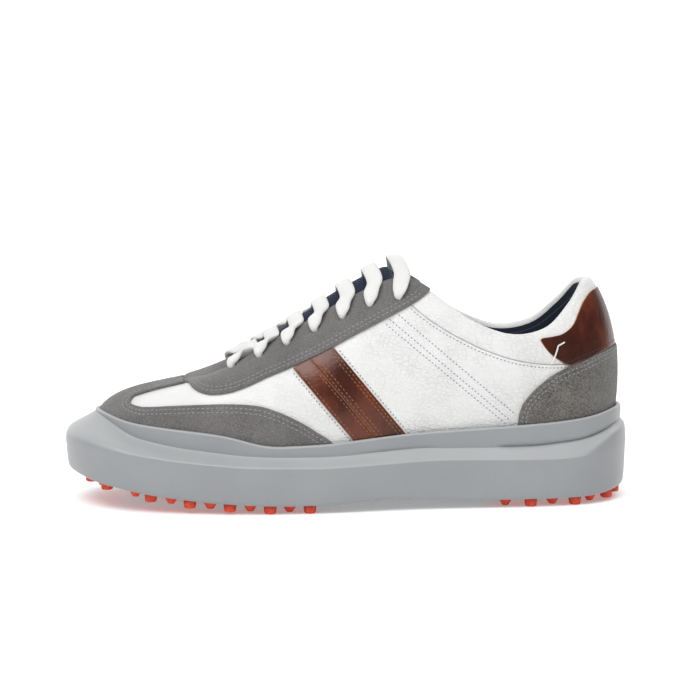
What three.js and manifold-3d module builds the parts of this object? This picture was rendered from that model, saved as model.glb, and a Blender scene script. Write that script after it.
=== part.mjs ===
// A left golf shoe with a spikeless cup sole, in millimetres.
// +X points to the toe, +Y to the outer (lateral) side and +Z up. The origin is on the ground, under the middle.
import * as THREE from "three";
import { mergeVertices } from "three/addons/utils/BufferGeometryUtils.js";
import Module from "manifold-3d";

const wasm = await Module();
wasm.setup();

// ---------------------------------------------------------------- driving sizes
const soleLength = 304; // over the toe and heel of the sole
const upperLength = 278; // of the last, where the upper meets the sole
const ballWidth = 88; // of the last across the ball
const collarTop = 121; // height of the heel collar above the ground
const rimTop = 45; // height of the cup's rim beside the heel
const toeShift = 7; // how far the toe leans to the inner side
const gap = 0.4; // between pieces that touch
const footLift = 0.8; // from the bed of the cup to the foot of the upper

const leatherThickness = 1.6;
const overlayThickness = 1.2; // suede and brown leather laid over the white leather
const liningThickness = 1.2;
const stiffenerThickness = 0.8;
const liningDepth = 3.4; // from the outer face of the leather to the lining
const collarFoamThickness = 3.4;
const rimThickness = 3.4;
const sideReach = 11; // from the last's foot line out to the crease of the sidewall
const nubHeight = 4;
const nubPadThickness = 1.2;
const nubPadDrop = 0.8; // room between the plate and the nub pads
const nubRadius = 3.2;
const plateThickness = 2.4;
const shankThickness = 1.2;
const boardThickness = 1.6;
const footbedThickness = 4.5;
const coverThickness = 0.9;
const coverInset = 1; // of the cover from the footbed's edge, as the wall leans in
const eyeletRadius = 2.6;
const eyeletRows = 7;
const liningRelief = 1.8; // the lining's holes are this much larger in radius
const tabBackGap = 13; // between the halves of the heel tab
const laceWidth = 7.6;
const laceThickness = 1.5;
const tongueFaceThickness = 1.1;
const tongueFoamThickness = 3.6;
const tongueLiningThickness = 0.8;

// ---------------------------------------------------------------- the last
// Stations from the heel seam (0) along the outer side to the toe tip (13), drawn at the drawn sizes below:
// foot x and half width, shoulder x, half width and height, top edge x, half width and height.
const drawn = { length: 281, width: 88, collar: 121, sole: 304, rim: 45 };
const stations = [
  [-143, 0, -154, 0, 88, -132, 0, 121],
  [-137, 17, -146, 20, 86, -127, 12, 119],
  [-123, 27, -128, 33, 80, -117, 22, 106.5],
  [-104, 31, -106, 37, 72, -104, 29, 94.5],
  [-82, 32.5, -84, 39, 70, -85, 32, 91.5],
  [-58, 33, -60, 39.5, 74, -64, 30, 99.5],
  [-32, 35, -38, 41, 84, -46, 24, 112.5],
  [-6, 38.5, -14, 42, 86, -27, 18, 120.5],
  [22, 42, 12, 45, 80, 0, 16, 109.5],
  [50, 44, 40, 45.5, 71, 24, 14.5, 96],
  [78, 43, 70, 43.5, 63, 45, 12.5, 84],
  [105, 37.5, 101, 38.5, 59.5, 56, 10, 75.8],
  [127, 23.5, 129, 24.5, 59.5, 63.5, 6, 69],
  [137, 0, 143.5, 0, 63.5, 67.5, 0, 65.2],
];
const toeStation = stations.length - 1;
const loopStations = 2 * toeStation;
const shoulderPull = 0.72; // how closely the surface follows the shoulder
const scaleX = upperLength / drawn.length;
const scaleY = ballWidth / drawn.width;
const scaleZ = collarTop / drawn.collar;
const soleStretch = (scaleX * soleLength) / drawn.sole;

// A height that changes along the shoe, read from a few points in drawn places.
function heights(points, stretch = scaleX) {
  return (x) => {
    const drawnX = x / stretch;
    if (drawnX <= points[0][0]) return points[0][1];
    for (let i = 1; i < points.length; i++) {
      const [x0, z0] = points[i - 1];
      const [x1, z1] = points[i];
      if (drawnX <= x1) return THREE.MathUtils.lerp(z0, z1, (drawnX - x0) / (x1 - x0));
    }
    return points[points.length - 1][1];
  };
}
const bottomAt = heights([[-152, 7.5], [-139, 5], [-125, nubHeight], [-70, nubHeight], [-20, 6], [12, nubHeight],
  [45, nubHeight], [80, 6], [110, 9.5], [138, 14.5], [152, 18.5]], soleStretch);
const bedAt = heights([[-145, 28], [-100, 27], [-40, 23.5], [20, 19], [60, 18.5], [100, 22.5], [137, 30]]);
const creaseAt = heights([[-148, 31], [-131, 27], [-110, 25.5], [-45, 26.5], [15, 24], [60, 25], [95, 28], [120, 31.5],
  [150, 33.5]], soleStretch);
const rimLift = rimTop - drawn.rim;
const rimCurve = heights([[-146, 50], [-129, 47], [-110, 45], [-86, 43.5], [-30, 40.5], [0, 37.5], [14, 36], [46, 35],
  [60, 38.6], [68, 40.8], [84, 42.6], [107, 44.6], [128, 46.6], [138, 48.6]]);
const rimAt = (x) => rimCurve(x) + rimLift;

const bow = (x) => -toeShift * THREE.MathUtils.smoothstep(x, 10 * scaleX, 150 * scaleX);
const archHollow = (x, y) => (y < 0 ? 5 * THREE.MathUtils.smoothstep(60 * scaleX - Math.abs(x + 12 * scaleX), 0, 60) : 0);

function loopCurve(pick) {
  const points = [];
  for (let k = 0; k < loopStations; k++) {
    const inner = k > toeStation;
    const [x, y, z] = pick(stations[inner ? loopStations - k : k]);
    points.push(new THREE.Vector3(x * scaleX, y * scaleY * (inner ? -1 : 1), z * scaleZ));
  }
  return new THREE.CatmullRomCurve3(points, true, "catmullrom", 0.5);
}
const footCurve = loopCurve((s) => [s[0], s[1], 0]);
const shoulderCurve = loopCurve((s) => [s[2], s[3], s[4]]);
const topCurve = loopCurve((s) => [s[5], s[6], s[7]]);

function footPoint(k) {
  const p = footCurve.getPoint(k / loopStations);
  p.y += bow(p.x) + archHollow(p.x, p.y);
  p.z = bedAt(p.x) + footLift;
  return p;
}

// The outer face of the white leather: k runs round the shoe, t from the sole up to the top edge.
function lastPoint(k, t) {
  const station = THREE.MathUtils.euclideanModulo(k, loopStations);
  const foot = footPoint(station);
  const shoulder = shoulderCurve.getPoint(station / loopStations);
  const top = topCurve.getPoint(station / loopStations);
  shoulder.y += bow(shoulder.x);
  top.y += bow(top.x);
  const low = foot.clone().lerp(shoulder, shoulderPull);
  const high = top.clone().lerp(shoulder, shoulderPull);
  return new THREE.CubicBezierCurve3(foot, low, high, top).getPoint(t);
}

function lastNormal(k, t) {
  const step = 0.02;
  const t0 = Math.max(0, t - step);
  const t1 = Math.min(1, t + step);
  const around = lastPoint(k + step, t).sub(lastPoint(k - step, t));
  const up = lastPoint(k, t1).sub(lastPoint(k, t0));
  return up.cross(around).normalize();
}

const skin = (k, t, out) => lastPoint(k, t).addScaledVector(lastNormal(k, t), out);

// ---------------------------------------------------------------- mesh tools
function closed(positions, index) {
  const geometry = new THREE.BufferGeometry();
  geometry.setAttribute("position", new THREE.Float32BufferAttribute(positions, 3));
  geometry.setIndex(index);
  const a = new THREE.Vector3();
  const b = new THREE.Vector3();
  const c = new THREE.Vector3();
  const at = geometry.getAttribute("position");
  let volume = 0;
  for (let i = 0; i < index.length; i += 3) {
    a.fromBufferAttribute(at, index[i]);
    b.fromBufferAttribute(at, index[i + 1]);
    c.fromBufferAttribute(at, index[i + 2]);
    volume += a.dot(b.cross(c));
  }
  if (volume < 0) geometry.setIndex([...index].reverse());
  return geometry;
}

// A closed slab between two faces given over a grid.
function slab(columns, rows, outer, inner) {
  const positions = [];
  const index = [];
  const across = columns + 1;
  const sheet = across * (rows + 1);
  for (const face of [outer, inner])
    for (let j = 0; j <= rows; j++)
      for (let i = 0; i < across; i++) positions.push(...face(i / columns, j / rows).toArray());
  const quad = (a, b, c, d) => index.push(a, b, c, a, c, d);
  const at = (i, j) => j * across + i;
  for (let i = 0; i < columns; i++) {
    for (let j = 0; j < rows; j++) {
      quad(at(i, j), at(i + 1, j), at(i + 1, j + 1), at(i, j + 1));
      quad(sheet + at(i, j), sheet + at(i, j + 1), sheet + at(i + 1, j + 1), sheet + at(i + 1, j));
    }
    quad(at(i + 1, 0), at(i, 0), sheet + at(i, 0), sheet + at(i + 1, 0));
    quad(at(i, rows), at(i + 1, rows), sheet + at(i + 1, rows), sheet + at(i, rows));
  }
  for (let j = 0; j < rows; j++) {
    quad(at(0, j), at(0, j + 1), sheet + at(0, j + 1), sheet + at(0, j));
    quad(at(columns, j + 1), at(columns, j), sheet + at(columns, j), sheet + at(columns, j + 1));
  }
  return closed(positions, index);
}

// A closed body through rings of points. A ladder across the shoe caps each end ring.
function loft(rings) {
  const count = rings[0].length;
  const positions = rings.flatMap((ring) => ring.flatMap((p) => p.toArray()));
  const index = [];
  for (let r = 0; r + 1 < rings.length; r++)
    for (let i = 0; i < count; i++) {
      const a = r * count + i;
      const b = r * count + ((i + 1) % count);
      index.push(a, b, b + count, a, b + count, a + count);
    }
  const last = (rings.length - 1) * count;
  for (let i = 0; i < count / 2; i++) {
    const j = (count - i) % count;
    const a = [i, i + 1, count - i - 1, j];
    const triangles = i === 0 ? [[0, 1, 2]] : i === count / 2 - 1 ? [[0, 1, 3]] : [[0, 1, 2], [0, 2, 3]];
    for (const [p, q, s] of triangles) {
      index.push(a[s], a[q], a[p]);
      index.push(last + a[p], last + a[q], last + a[s]);
    }
  }
  return closed(positions, index);
}

function solid(geometry) {
  const bare = geometry.clone();
  bare.deleteAttribute("normal");
  bare.deleteAttribute("uv");
  const merged = mergeVertices(bare, 1e-3);
  const triVerts = new Uint32Array(merged.index.array);
  return new wasm.Manifold(
    new wasm.Mesh({ numProp: 3, vertProperties: merged.attributes.position.array, triVerts }),
  );
}

function geometryOf(body) {
  const mesh = body.getMesh();
  const geometry = new THREE.BufferGeometry();
  geometry.setAttribute("position", new THREE.BufferAttribute(new Float32Array(mesh.vertProperties), 3));
  geometry.setIndex(new THREE.BufferAttribute(new Uint32Array(mesh.triVerts), 1));
  return geometry;
}

const shoe = new THREE.Group();
const finishes = {
  foam: { color: 0xa5a8aa, roughness: 0.55, metalness: 0 },
  plate: { color: 0x8c8f92, roughness: 0.6, metalness: 0 },
  nub: { color: 0xcd3c23, roughness: 0.5, metalness: 0 },
  whiteLeather: { color: 0xebebe9, roughness: 0.5, metalness: 0 },
  suede: { color: 0x77746f, roughness: 0.95, metalness: 0 },
  brownLeather: { color: 0x55281a, roughness: 0.35, metalness: 0 },
  navyCloth: { color: 0x121c33, roughness: 0.9, metalness: 0 },
  lace: { color: 0xf2f2f0, roughness: 0.85, metalness: 0 },
  board: { color: 0xb9a78c, roughness: 0.9, metalness: 0 },
  stiffener: { color: 0xd8d4c8, roughness: 0.8, metalness: 0 },
  steel: { color: 0x9a9c9f, roughness: 0.35, metalness: 1 },
  cushion: { color: 0x3a4150, roughness: 0.95, metalness: 0 },
  tip: { color: 0xe8e8e8, roughness: 0.25, metalness: 0 },
};

function add(name, geometry, finish) {
  const mesh = new THREE.Mesh(geometry, new THREE.MeshStandardMaterial(finishes[finish]));
  mesh.name = name;
  shoe.add(mesh);
}

// ---------------------------------------------------------------- cutting outlines, in side view
const far = 90; // beyond the shoe's side
const high = 190; // above the shoe
const sized = ([x, z]) => new THREE.Vector2(x * scaleX, z * scaleZ);

function smoothEdge(points, steps = 2) {
  return new THREE.SplineCurve(points.map(sized)).getPoints(points.length * steps);
}

// A prism through the shoe's side from a side-view outline, between two places across the shoe.
function sidePrism(outline, yFrom, yTo) {
  const prism = new THREE.ExtrudeGeometry(new THREE.Shape(outline), { depth: yTo - yFrom, bevelEnabled: false });
  prism.rotateX(Math.PI / 2);
  prism.translate(0, yTo, 0);
  return solid(prism);
}

const shifted = (edge, dx, dz) => edge.map((p) => new THREE.Vector2(p.x + dx, p.y + dz));
const corner = (x, z) => new THREE.Vector2(x, z);

const eyestayEdge = smoothEdge([[87, 69], [85.5, 63.5], [77, 60.5], [66, 61.6], [56, 65], [45, 70], [32.8, 75], [17.5, 82],
  [0, 91], [-18, 100], [-37, 110], [-44, 117], [-46, 124]]);
const wingEdge = smoothEdge([[6, 26], [11, 35.5], [20, 42], [29, 47.5], [40, 52.5], [51, 55.5], [66, 56], [81.5, 55.2],
  [96, 54], [108, 52.8], [122, 52]]);
const guardEdge = smoothEdge([[-86, 24], [-88, 43], [-90, 53], [-96, 61], [-104.5, 68], [-114, 73], [-123, 76], [-136, 80.5],
  [-150, 84]]);
const tabFront = smoothEdge([[-114, 75], [-106, 80.5], [-101.5, 86], [-101, 88.7], [-107, 89.6], [-113, 91], [-118.5, 95],
  [-122, 101], [-125.5, 107], [-130.5, 112], [-137, 113.5], [-150, 114]]);
// The two stripes fall back from the eyestay: each edge as its x at two heights.
const stripeTop = 92;
const stripeFoot = 26;
const stripeLean = 34.5 / 41.2;
const stripeX = (atSole, z) => (atSole + (z - 38.3) * stripeLean) * scaleX;
const stripeEdges = { front: 1.6, middle: -11.5, rear: -29 };

function stripeOutline(front, rear) {
  return [
    corner(stripeX(rear, stripeFoot) + gap / 2, stripeFoot * scaleZ),
    corner(stripeX(front, stripeFoot) - gap / 2, stripeFoot * scaleZ),
    corner(stripeX(front, stripeTop) - gap / 2, stripeTop * scaleZ),
    corner(stripeX(rear, stripeTop) + gap / 2, stripeTop * scaleZ),
  ];
}

// ---------------------------------------------------------------- upper layers, on one shared lattice
const columnsPerStation = 2;
const rowCount = 6;
function layer(kFrom, kTo, inner, outer, tFrom = 0, tTo = 1) {
  const columns = Math.round((kTo - kFrom) * columnsPerStation);
  const rows = Math.max(2, Math.round((tTo - tFrom) * rowCount));
  const face = (out) => (a, b) => {
    const k = THREE.MathUtils.lerp(kFrom, kTo, a);
    const t = THREE.MathUtils.lerp(tFrom, tTo, b);
    return skin(k, t, typeof out === "function" ? out(k, t) : out);
  };
  return slab(columns, rows, face(outer), face(inner));
}

const seamStation = 0.012;
const overlayInner = gap;
const overlayOuter = gap + overlayThickness;

// Eyelets lie in a row along the throat edge, an even step apart.
const eyeletT = 0.87;
const eyeletFirstX = 63 * scaleX;
const eyeletLastX = -25 * scaleX;
function stationAtX(x, t) {
  let rear = 6;
  let front = toeStation;
  for (let i = 0; i < 30; i++) {
    const middle = (rear + front) / 2;
    if (lastPoint(middle, t).x < x) rear = middle;
    else front = middle;
  }
  return (rear + front) / 2;
}
const eyeletStations = Array.from({ length: eyeletRows }, (_, row) =>
  stationAtX(THREE.MathUtils.lerp(eyeletFirstX, eyeletLastX, row / (eyeletRows - 1)), eyeletT),
);
function drillOf(radius) {
  let drill = null;
  const along = new THREE.Vector3(0, 1, 0);
  for (const row of eyeletStations)
    for (const k of [row, loopStations - row]) {
      const hole = new THREE.CylinderGeometry(radius, radius, 16, 6);
      hole.applyQuaternion(new THREE.Quaternion().setFromUnitVectors(along, lastNormal(k, eyeletT)));
      hole.translate(...skin(k, eyeletT, -2).toArray());
      drill = drill ? drill.add(solid(hole)) : solid(hole);
    }
  return drill;
}
const eyeletDrill = drillOf(eyeletRadius);
const liningDrill = drillOf(eyeletRadius + liningRelief);

const vampSplit = (toFront) => {
  const dx = toFront ? gap / 2 : -gap / 2;
  const away = (toFront ? 200 : -200) * scaleX;
  const foot = corner(stripeX(stripeEdges.middle, 0) + dx, 0);
  const top = corner(stripeX(stripeEdges.middle, high) + dx, high * scaleZ);
  return sidePrism([foot, corner(away, 0), corner(away, high * scaleZ), top], -far, far);
};
const frontHalf = vampSplit(true);
const rearHalf = vampSplit(false);

const vampFrom = 6.5;
const vampTo = loopStations - vampFrom;
const outerBase = (from, to) => solid(layer(from, to, -leatherThickness, 0));
add("vamp", geometryOf(outerBase(vampFrom, vampTo).intersect(frontHalf).subtract(eyeletDrill)), "whiteLeather");
const collarSeam = smoothEdge([[-26, 124], [-29.5, 110], [-38, 101.5], [-49, 94], [-60, 88], [-72, 82.6], [-88, 77.5],
  [-107, 75], [-125, 76], [-150, 78]]);
const belowSeam = sidePrism([...shifted(collarSeam, 0, -gap / 2), corner(-150 * scaleX, 0), corner(200 * scaleX, 0),
  corner(200 * scaleX, high), corner(-26 * scaleX, high)], -far, far);
const aboveSeam = sidePrism([...shifted(collarSeam, -gap / 2, gap / 2), corner(-150 * scaleX, high),
  corner(-26 * scaleX - gap / 2, high)], -far, far);
const sides = [
  ["lateral", seamStation, 11],
  ["medial", loopStations - 11, loopStations - seamStation],
];
for (const [side, from, to] of sides) {
  const quarter = outerBase(from, to).intersect(rearHalf).intersect(belowSeam);
  add("quarter_" + side, geometryOf(quarter.subtract(eyeletDrill)), "whiteLeather");
}
add("collar_cover", geometryOf(outerBase(-7, 7).intersect(aboveSeam).subtract(eyeletDrill)), "whiteLeather");

// The lining bulges inwards at the collar, where the foam is.
const collarBulge = (k, t) => {
  const fromHeel = Math.min(k, loopStations - k);
  const along = 1 - THREE.MathUtils.smoothstep(fromHeel, 5.5, 7);
  return along * THREE.MathUtils.smoothstep(t, 0.62, 0.78) * (1 - THREE.MathUtils.smoothstep(t, 0.93, 1));
};
const liningFace = (k, t) => -liningDepth - collarFoamThickness * collarBulge(k, t);
const liningOf = (from, to) =>
  solid(layer(from, to, (k, t) => liningFace(k, t) - liningThickness, liningFace));
add("vamp_lining", geometryOf(liningOf(vampFrom, vampTo).intersect(frontHalf).subtract(liningDrill)), "navyCloth");
for (const [side, from, to] of sides)
  add("quarter_lining_" + side, geometryOf(liningOf(from, to).intersect(rearHalf).subtract(liningDrill)), "navyCloth");

const stiffenerOuter = -leatherThickness - gap;
const stiffenerInner = stiffenerOuter - stiffenerThickness;
add("heel_counter", layer(-3, 3, stiffenerInner, stiffenerOuter, 0, 0.5), "stiffener");
add("toe_puff", layer(toeStation - 2, toeStation + 2, stiffenerInner, stiffenerOuter, 0, 0.5), "stiffener");
const foamFace = (k, t) => liningFace(k, t) + gap;
add("collar_foam", layer(-5.5, 5.5, foamFace, stiffenerOuter, 4 / rowCount, 1), "cushion");

// Overlays on the white leather.
const eyestayRegion = sidePrism(
  [...eyestayEdge, corner(-46 * scaleX, high), corner(87 * scaleX, high)], -far, far,
);
const eyestayBody = solid(layer(5.5, loopStations - 5.5, overlayInner, overlayOuter));
add("eyestay", geometryOf(eyestayBody.intersect(eyestayRegion).subtract(eyeletDrill)), "suede");

const stemHalfWidth = 13;
const stemRear = 87 * scaleX + gap;
const wingRegion = sidePrism(
  [...wingEdge, corner(170 * scaleX, 52 * scaleZ), corner(170 * scaleX, 10), corner(6 * scaleX, 10)], -far, far,
);
const stemShape = [corner(stemRear, 40), corner(170 * scaleX, 40), corner(170 * scaleX, high), corner(stemRear, high)];
const stemCentre = bow(110 * scaleX);
const stemRegion = sidePrism(stemShape, stemCentre - stemHalfWidth, stemCentre + stemHalfWidth);
const toeGuardBody = solid(layer(7, loopStations - 7, overlayInner, overlayOuter));
add("toe_guard", geometryOf(toeGuardBody.intersect(wingRegion.add(stemRegion))), "suede");

const slantGap = gap * 1.6; // a gap measured straight down across a slanted edge
const underEyestay = shifted(eyestayEdge, 0, -slantGap);
const belowEyestay = (yFrom, yTo) =>
  sidePrism([...underEyestay, corner(-46 * scaleX, 0), corner(87 * scaleX, 0)], yFrom, yTo);
const behindWing = shifted(wingEdge, -gap, gap);
const aboveWing = (yFrom, yTo) =>
  sidePrism([corner(6 * scaleX - gap, 0), ...behindWing, corner(122 * scaleX, high), corner(-80 * scaleX, high),
    corner(-80 * scaleX, 0)], yFrom, yTo);
for (const [side, from, to, yFrom, yTo] of [["lateral", 5, 11, 0, far], ["medial", 15, 21, -far, 0]]) {
  const allowed = belowEyestay(yFrom, yTo).intersect(aboveWing(yFrom, yTo));
  for (const [place, front, rear] of [["front", stripeEdges.front, stripeEdges.middle],
    ["rear", stripeEdges.middle, stripeEdges.rear]]) {
    const strip = sidePrism(stripeOutline(front, rear), yFrom, yTo).intersect(allowed);
    const body = solid(layer(from, to, overlayInner, overlayOuter));
    add("stripe_" + place + "_" + side, geometryOf(body.intersect(strip)), "brownLeather");
  }
}

const guardFoot = corner(-86 * scaleX, 10);
const guardBack = corner(-170 * scaleX, 10);
const heelGuardRegion = sidePrism([...guardEdge, corner(-170 * scaleX, 84 * scaleZ), guardBack, guardFoot], -far, far);
add("heel_guard", geometryOf(solid(layer(-5, 5, overlayInner, overlayOuter)).intersect(heelGuardRegion)), "suede");
const heelTabRegion = sidePrism(
  [...tabFront, corner(-170 * scaleX, 114 * scaleZ), corner(-170 * scaleX, 75 * scaleZ)], -far, far,
).subtract(sidePrism([...shifted(guardEdge, 0, slantGap), corner(-170 * scaleX, 84 * scaleZ), guardBack, guardFoot],
  -far, far));
// The tab is two halves, with a strip of the collar's white leather between them at the back.
for (const [side, from, yFrom, yTo] of [["lateral", 0, tabBackGap / 2, far], ["medial", -5, -far, -tabBackGap / 2]]) {
  const half = heelTabRegion.intersect(sidePrism(
    [corner(-far * 3, 0), corner(0, 0), corner(0, high), corner(-far * 3, high)], yFrom, yTo));
  add("heel_tab_" + side, geometryOf(solid(layer(from, from + 5, overlayInner, overlayOuter)).intersect(half)),
    "brownLeather");
}

// ---------------------------------------------------------------- sole unit
const soleColumns = 52;
const ringStations = Array.from({ length: soleColumns }, (_, i) => (i * loopStations) / soleColumns);

// A point beside the last's foot line, moved out level by a distance, at a height.
function besideFoot(k, out, heightAt) {
  const here = footPoint(k);
  const along = footPoint(k + 0.05).sub(footPoint(k - 0.05));
  const normal = new THREE.Vector3(along.y, -along.x, 0).normalize();
  if (normal.x * here.x + normal.y * here.y < 0) normal.negate();
  here.addScaledVector(normal, out);
  return new THREE.Vector3(here.x, here.y, heightAt(here.x));
}
const ring = (out, heightAt) =>
  ringStations.map((k) => besideFoot(k, typeof out === "function" ? out(k) : out, heightAt));

const toeReach = soleLength / 2 - footPoint(toeStation).x;
const heelReach = soleLength / 2 + footPoint(0).x;
function reach(k) {
  const x = footPoint(k).x / scaleX;
  const toeward = THREE.MathUtils.smoothstep(x, 85, 137);
  const heelward = THREE.MathUtils.smoothstep(-x, 105, 143);
  return sideReach + toeward * (toeReach - sideReach) + heelward * (heelReach - sideReach);
}

// The cup's inner wall follows the upper up to the rim.
const cupClearance = overlayOuter + 2 * gap;
function rimT(k) {
  let low = 0;
  let top = 1;
  for (let i = 0; i < 24; i++) {
    const t = (low + top) / 2;
    const here = lastPoint(k, t);
    if (here.z < rimAt(here.x)) low = t;
    else top = t;
  }
  return low;
}
function rimPoint(k, out, drop) {
  const wall = skin(k, rimT(k), cupClearance);
  const outward = wall.clone().sub(lastPoint(k, rimT(k))).setZ(0).normalize();
  wall.addScaledVector(outward, out);
  wall.z = rimAt(wall.x) - drop;
  return wall;
}
const rimRing = (out, drop) => ringStations.map((k) => rimPoint(k, out, drop));
const wallRing = (share) => ringStations.map((k) => skin(k, rimT(k) * share, cupClearance));
const inReach = (inset, heightAt) => ring((k) => reach(k) - inset, heightAt);
const wallShares = [0.93, 0.82, 0.68, 0.52, 0.36, 0.18]; // of the way up to the rim
const plateLift = plateThickness + 1.5 * gap;
add("midsole_cup", loft([
  ring(0, (x) => bottomAt(x) + plateLift),
  inReach(5, (x) => bottomAt(x) + plateLift),
  inReach(2, (x) => bottomAt(x) + plateLift + 3),
  inReach(0, creaseAt),
  inReach(0.8, (x) => creaseAt(x) + 4),
  rimRing(rimThickness, 3),
  rimRing(rimThickness * 0.6, 0.4),
  rimRing(0, 0.8),
  ...wallShares.map(wallRing),
  ring(cupClearance, bedAt),
]), "foam");

add("outsole_plate", loft([
  inReach(8, bottomAt),
  inReach(5.5, (x) => bottomAt(x) + 0.6),
  inReach(5.5, (x) => bottomAt(x) + plateThickness),
]), "plate");

// ---------------------------------------------------------------- traction nubs
// Each group is a thin pad along the sole's edge with a zigzag of nubs on it.
const padOuter = 3.4;
const padInner = -12;
function nubAt(place) {
  const height = nubHeight - nubPadDrop - nubPadThickness / 2;
  const nub = new THREE.CylinderGeometry(nubRadius, nubRadius * 0.72, height, 6);
  nub.rotateX(Math.PI / 2);
  nub.translate(place.x, place.y, place.z - nubHeight + height / 2);
  return solid(nub);
}

function nubGroup(name, kFrom, kTo, count, outer = padOuter, inner = padInner) {
  const padFace = (lift) => (a, b) =>
    besideFoot(THREE.MathUtils.lerp(kFrom, kTo, a), THREE.MathUtils.lerp(outer, inner, b), (x) => bottomAt(x) + lift);
  const columns = Math.max(4, 2 * Math.round(kTo - kFrom));
  let body = solid(slab(columns, 2, padFace(-nubPadDrop), padFace(-nubPadDrop - nubPadThickness)));
  for (let i = 0; i < count; i++) body = body.add(nubAt(padFace(0)((i + 0.5) / count, i % 2 === 0 ? 0.22 : 0.78)));
  add(name, geometryOf(body), "nub");
}

const mirrored = (k) => loopStations - k;
nubGroup("heel_nubs_lateral", 0.75, 4.3, 6);
nubGroup("heel_nubs_medial", mirrored(4.3), mirrored(0.75), 6);
nubGroup("heel_nubs_back", -0.55, 0.55, 3);
nubGroup("forefoot_nubs_lateral", 7.9, 11.6, 10);
nubGroup("forefoot_nubs_medial", mirrored(11.6), mirrored(7.9), 10);
nubGroup("toe_nubs", 11.9, mirrored(11.9), 7);

// Two straight pads down the middle of the tread.
function middleNubs(name, xFrom, xTo, count) {
  const halfWidth = 11;
  const padFace = (lift) => (a, b) => {
    const x = THREE.MathUtils.lerp(xFrom, xTo, a) * scaleX;
    return new THREE.Vector3(x, bow(x) + THREE.MathUtils.lerp(-halfWidth, halfWidth, b), bottomAt(x) + lift);
  };
  let body = solid(slab(6, 2, padFace(-nubPadDrop), padFace(-nubPadDrop - nubPadThickness)));
  for (let i = 0; i < count; i++) body = body.add(nubAt(padFace(0)((i + 0.5) / count, i % 2 === 0 ? 0.25 : 0.75)));
  add(name, geometryOf(body), "nub");
}
middleNubs("forefoot_nubs_middle", 30, 100, 5);
middleNubs("heel_nubs_middle", -118, -74, 3);

// ---------------------------------------------------------------- inside the cup
const insideLining = -liningDepth - liningThickness - gap;
const boardBottom = gap + shankThickness + gap;
const footbedBottom = boardBottom + boardThickness + gap;
const coverBottom = footbedBottom + footbedThickness + gap;
const aboveBed = (lift) => (x) => bedAt(x) + lift;
const plateBetween = (out, low, top) => loft([ring(out, aboveBed(low)), ring(out, aboveBed(top))]);
add("insole_board", plateBetween(insideLining - 0.6, boardBottom, boardBottom + boardThickness), "board");
const footbedEdge = insideLining - 1.6;
add("footbed_foam", plateBetween(footbedEdge, footbedBottom, footbedBottom + footbedThickness), "cushion");
add("footbed_cover", plateBetween(footbedEdge - coverInset, coverBottom, coverBottom + coverThickness), "navyCloth");

const shankFrom = -95;
const shankTo = 12;
const shankHalfWidth = 8;
const shankFace = (lift) => (a, b) => {
  const x = THREE.MathUtils.lerp(shankFrom, shankTo, a) * scaleX;
  return new THREE.Vector3(x, THREE.MathUtils.lerp(-shankHalfWidth, shankHalfWidth, b), bedAt(x) + lift);
};
add("shank", slab(12, 2, shankFace(gap), shankFace(gap + shankThickness)), "steel");

// ---------------------------------------------------------------- tongue
const laceRoom = 4.4; // between the lining and the tongue, for the lace
const tongueDepth = liningDepth + liningThickness + laceRoom;
const tongueRear = 7.15;
const tongueFront = 12.3;
const tongueWingT = 0.74;
const tongueCrownRear = 6.5;
const tongueCrownFront = -9;
const tongueStation = (b) => THREE.MathUtils.lerp(tongueRear, tongueFront, b);
const crownAt = (b) => THREE.MathUtils.lerp(tongueCrownRear, tongueCrownFront, b * b);

function tongueSection(b) {
  const k = tongueStation(b);
  const middle = lastPoint(k, 1).add(lastPoint(mirrored(k), 1)).multiplyScalar(0.5);
  middle.z += crownAt(b);
  return new THREE.CatmullRomCurve3([
    skin(k, tongueWingT, -tongueDepth),
    skin(k, 0.96, -tongueDepth),
    middle,
    skin(mirrored(k), 0.96, -tongueDepth),
    skin(mirrored(k), tongueWingT, -tongueDepth),
  ], false, "catmullrom", 0.5);
}

function tongueFace(depth) {
  return (a, b) => {
    const here = tongueSection(b).getPoint(a);
    const across = tongueSection(b).getTangent(a);
    const along = tongueSection(Math.min(1, b + 0.02)).getPoint(a).sub(tongueSection(Math.max(0, b - 0.02)).getPoint(a));
    const down = across.cross(along).normalize();
    if (down.z > 0) down.negate();
    return here.addScaledVector(down, depth);
  };
}
const tongueColumns = 8;
const tongueRows = 8;
const tongueLayer = (top, thickness) =>
  slab(tongueColumns, tongueRows, tongueFace(top), tongueFace(top + thickness));
const tongueFoamTop = tongueFaceThickness + gap;
const tongueLiningTop = tongueFoamTop + tongueFoamThickness + gap;
add("tongue_face", tongueLayer(0, tongueFaceThickness), "navyCloth");
add("tongue_foam", tongueLayer(tongueFoamTop, tongueFoamThickness), "cushion");
add("tongue_lining", tongueLayer(tongueLiningTop, tongueLiningThickness), "navyCloth");

// ---------------------------------------------------------------- lace
// One flat lace in straight bars: across at each row, then on to the next row inside the facing.
const insideOut = -liningDepth - liningThickness - laceRoom * 0.46;
const bunch = 2.7; // its width and thickness inside an eyelet
const barLift = 1.6; // of a bar's middle above the tongue
const knots = [];
const knot = (at, side, width, thick) => knots.push({ at, side: side.normalize(), width, thick });
const aroundAt = (k, t) => lastPoint(k + 0.05, t).sub(lastPoint(k - 0.05, t));
const upAt = (k, t) => lastPoint(k, Math.min(1, t + 0.03)).sub(lastPoint(k, t - 0.03));

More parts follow.
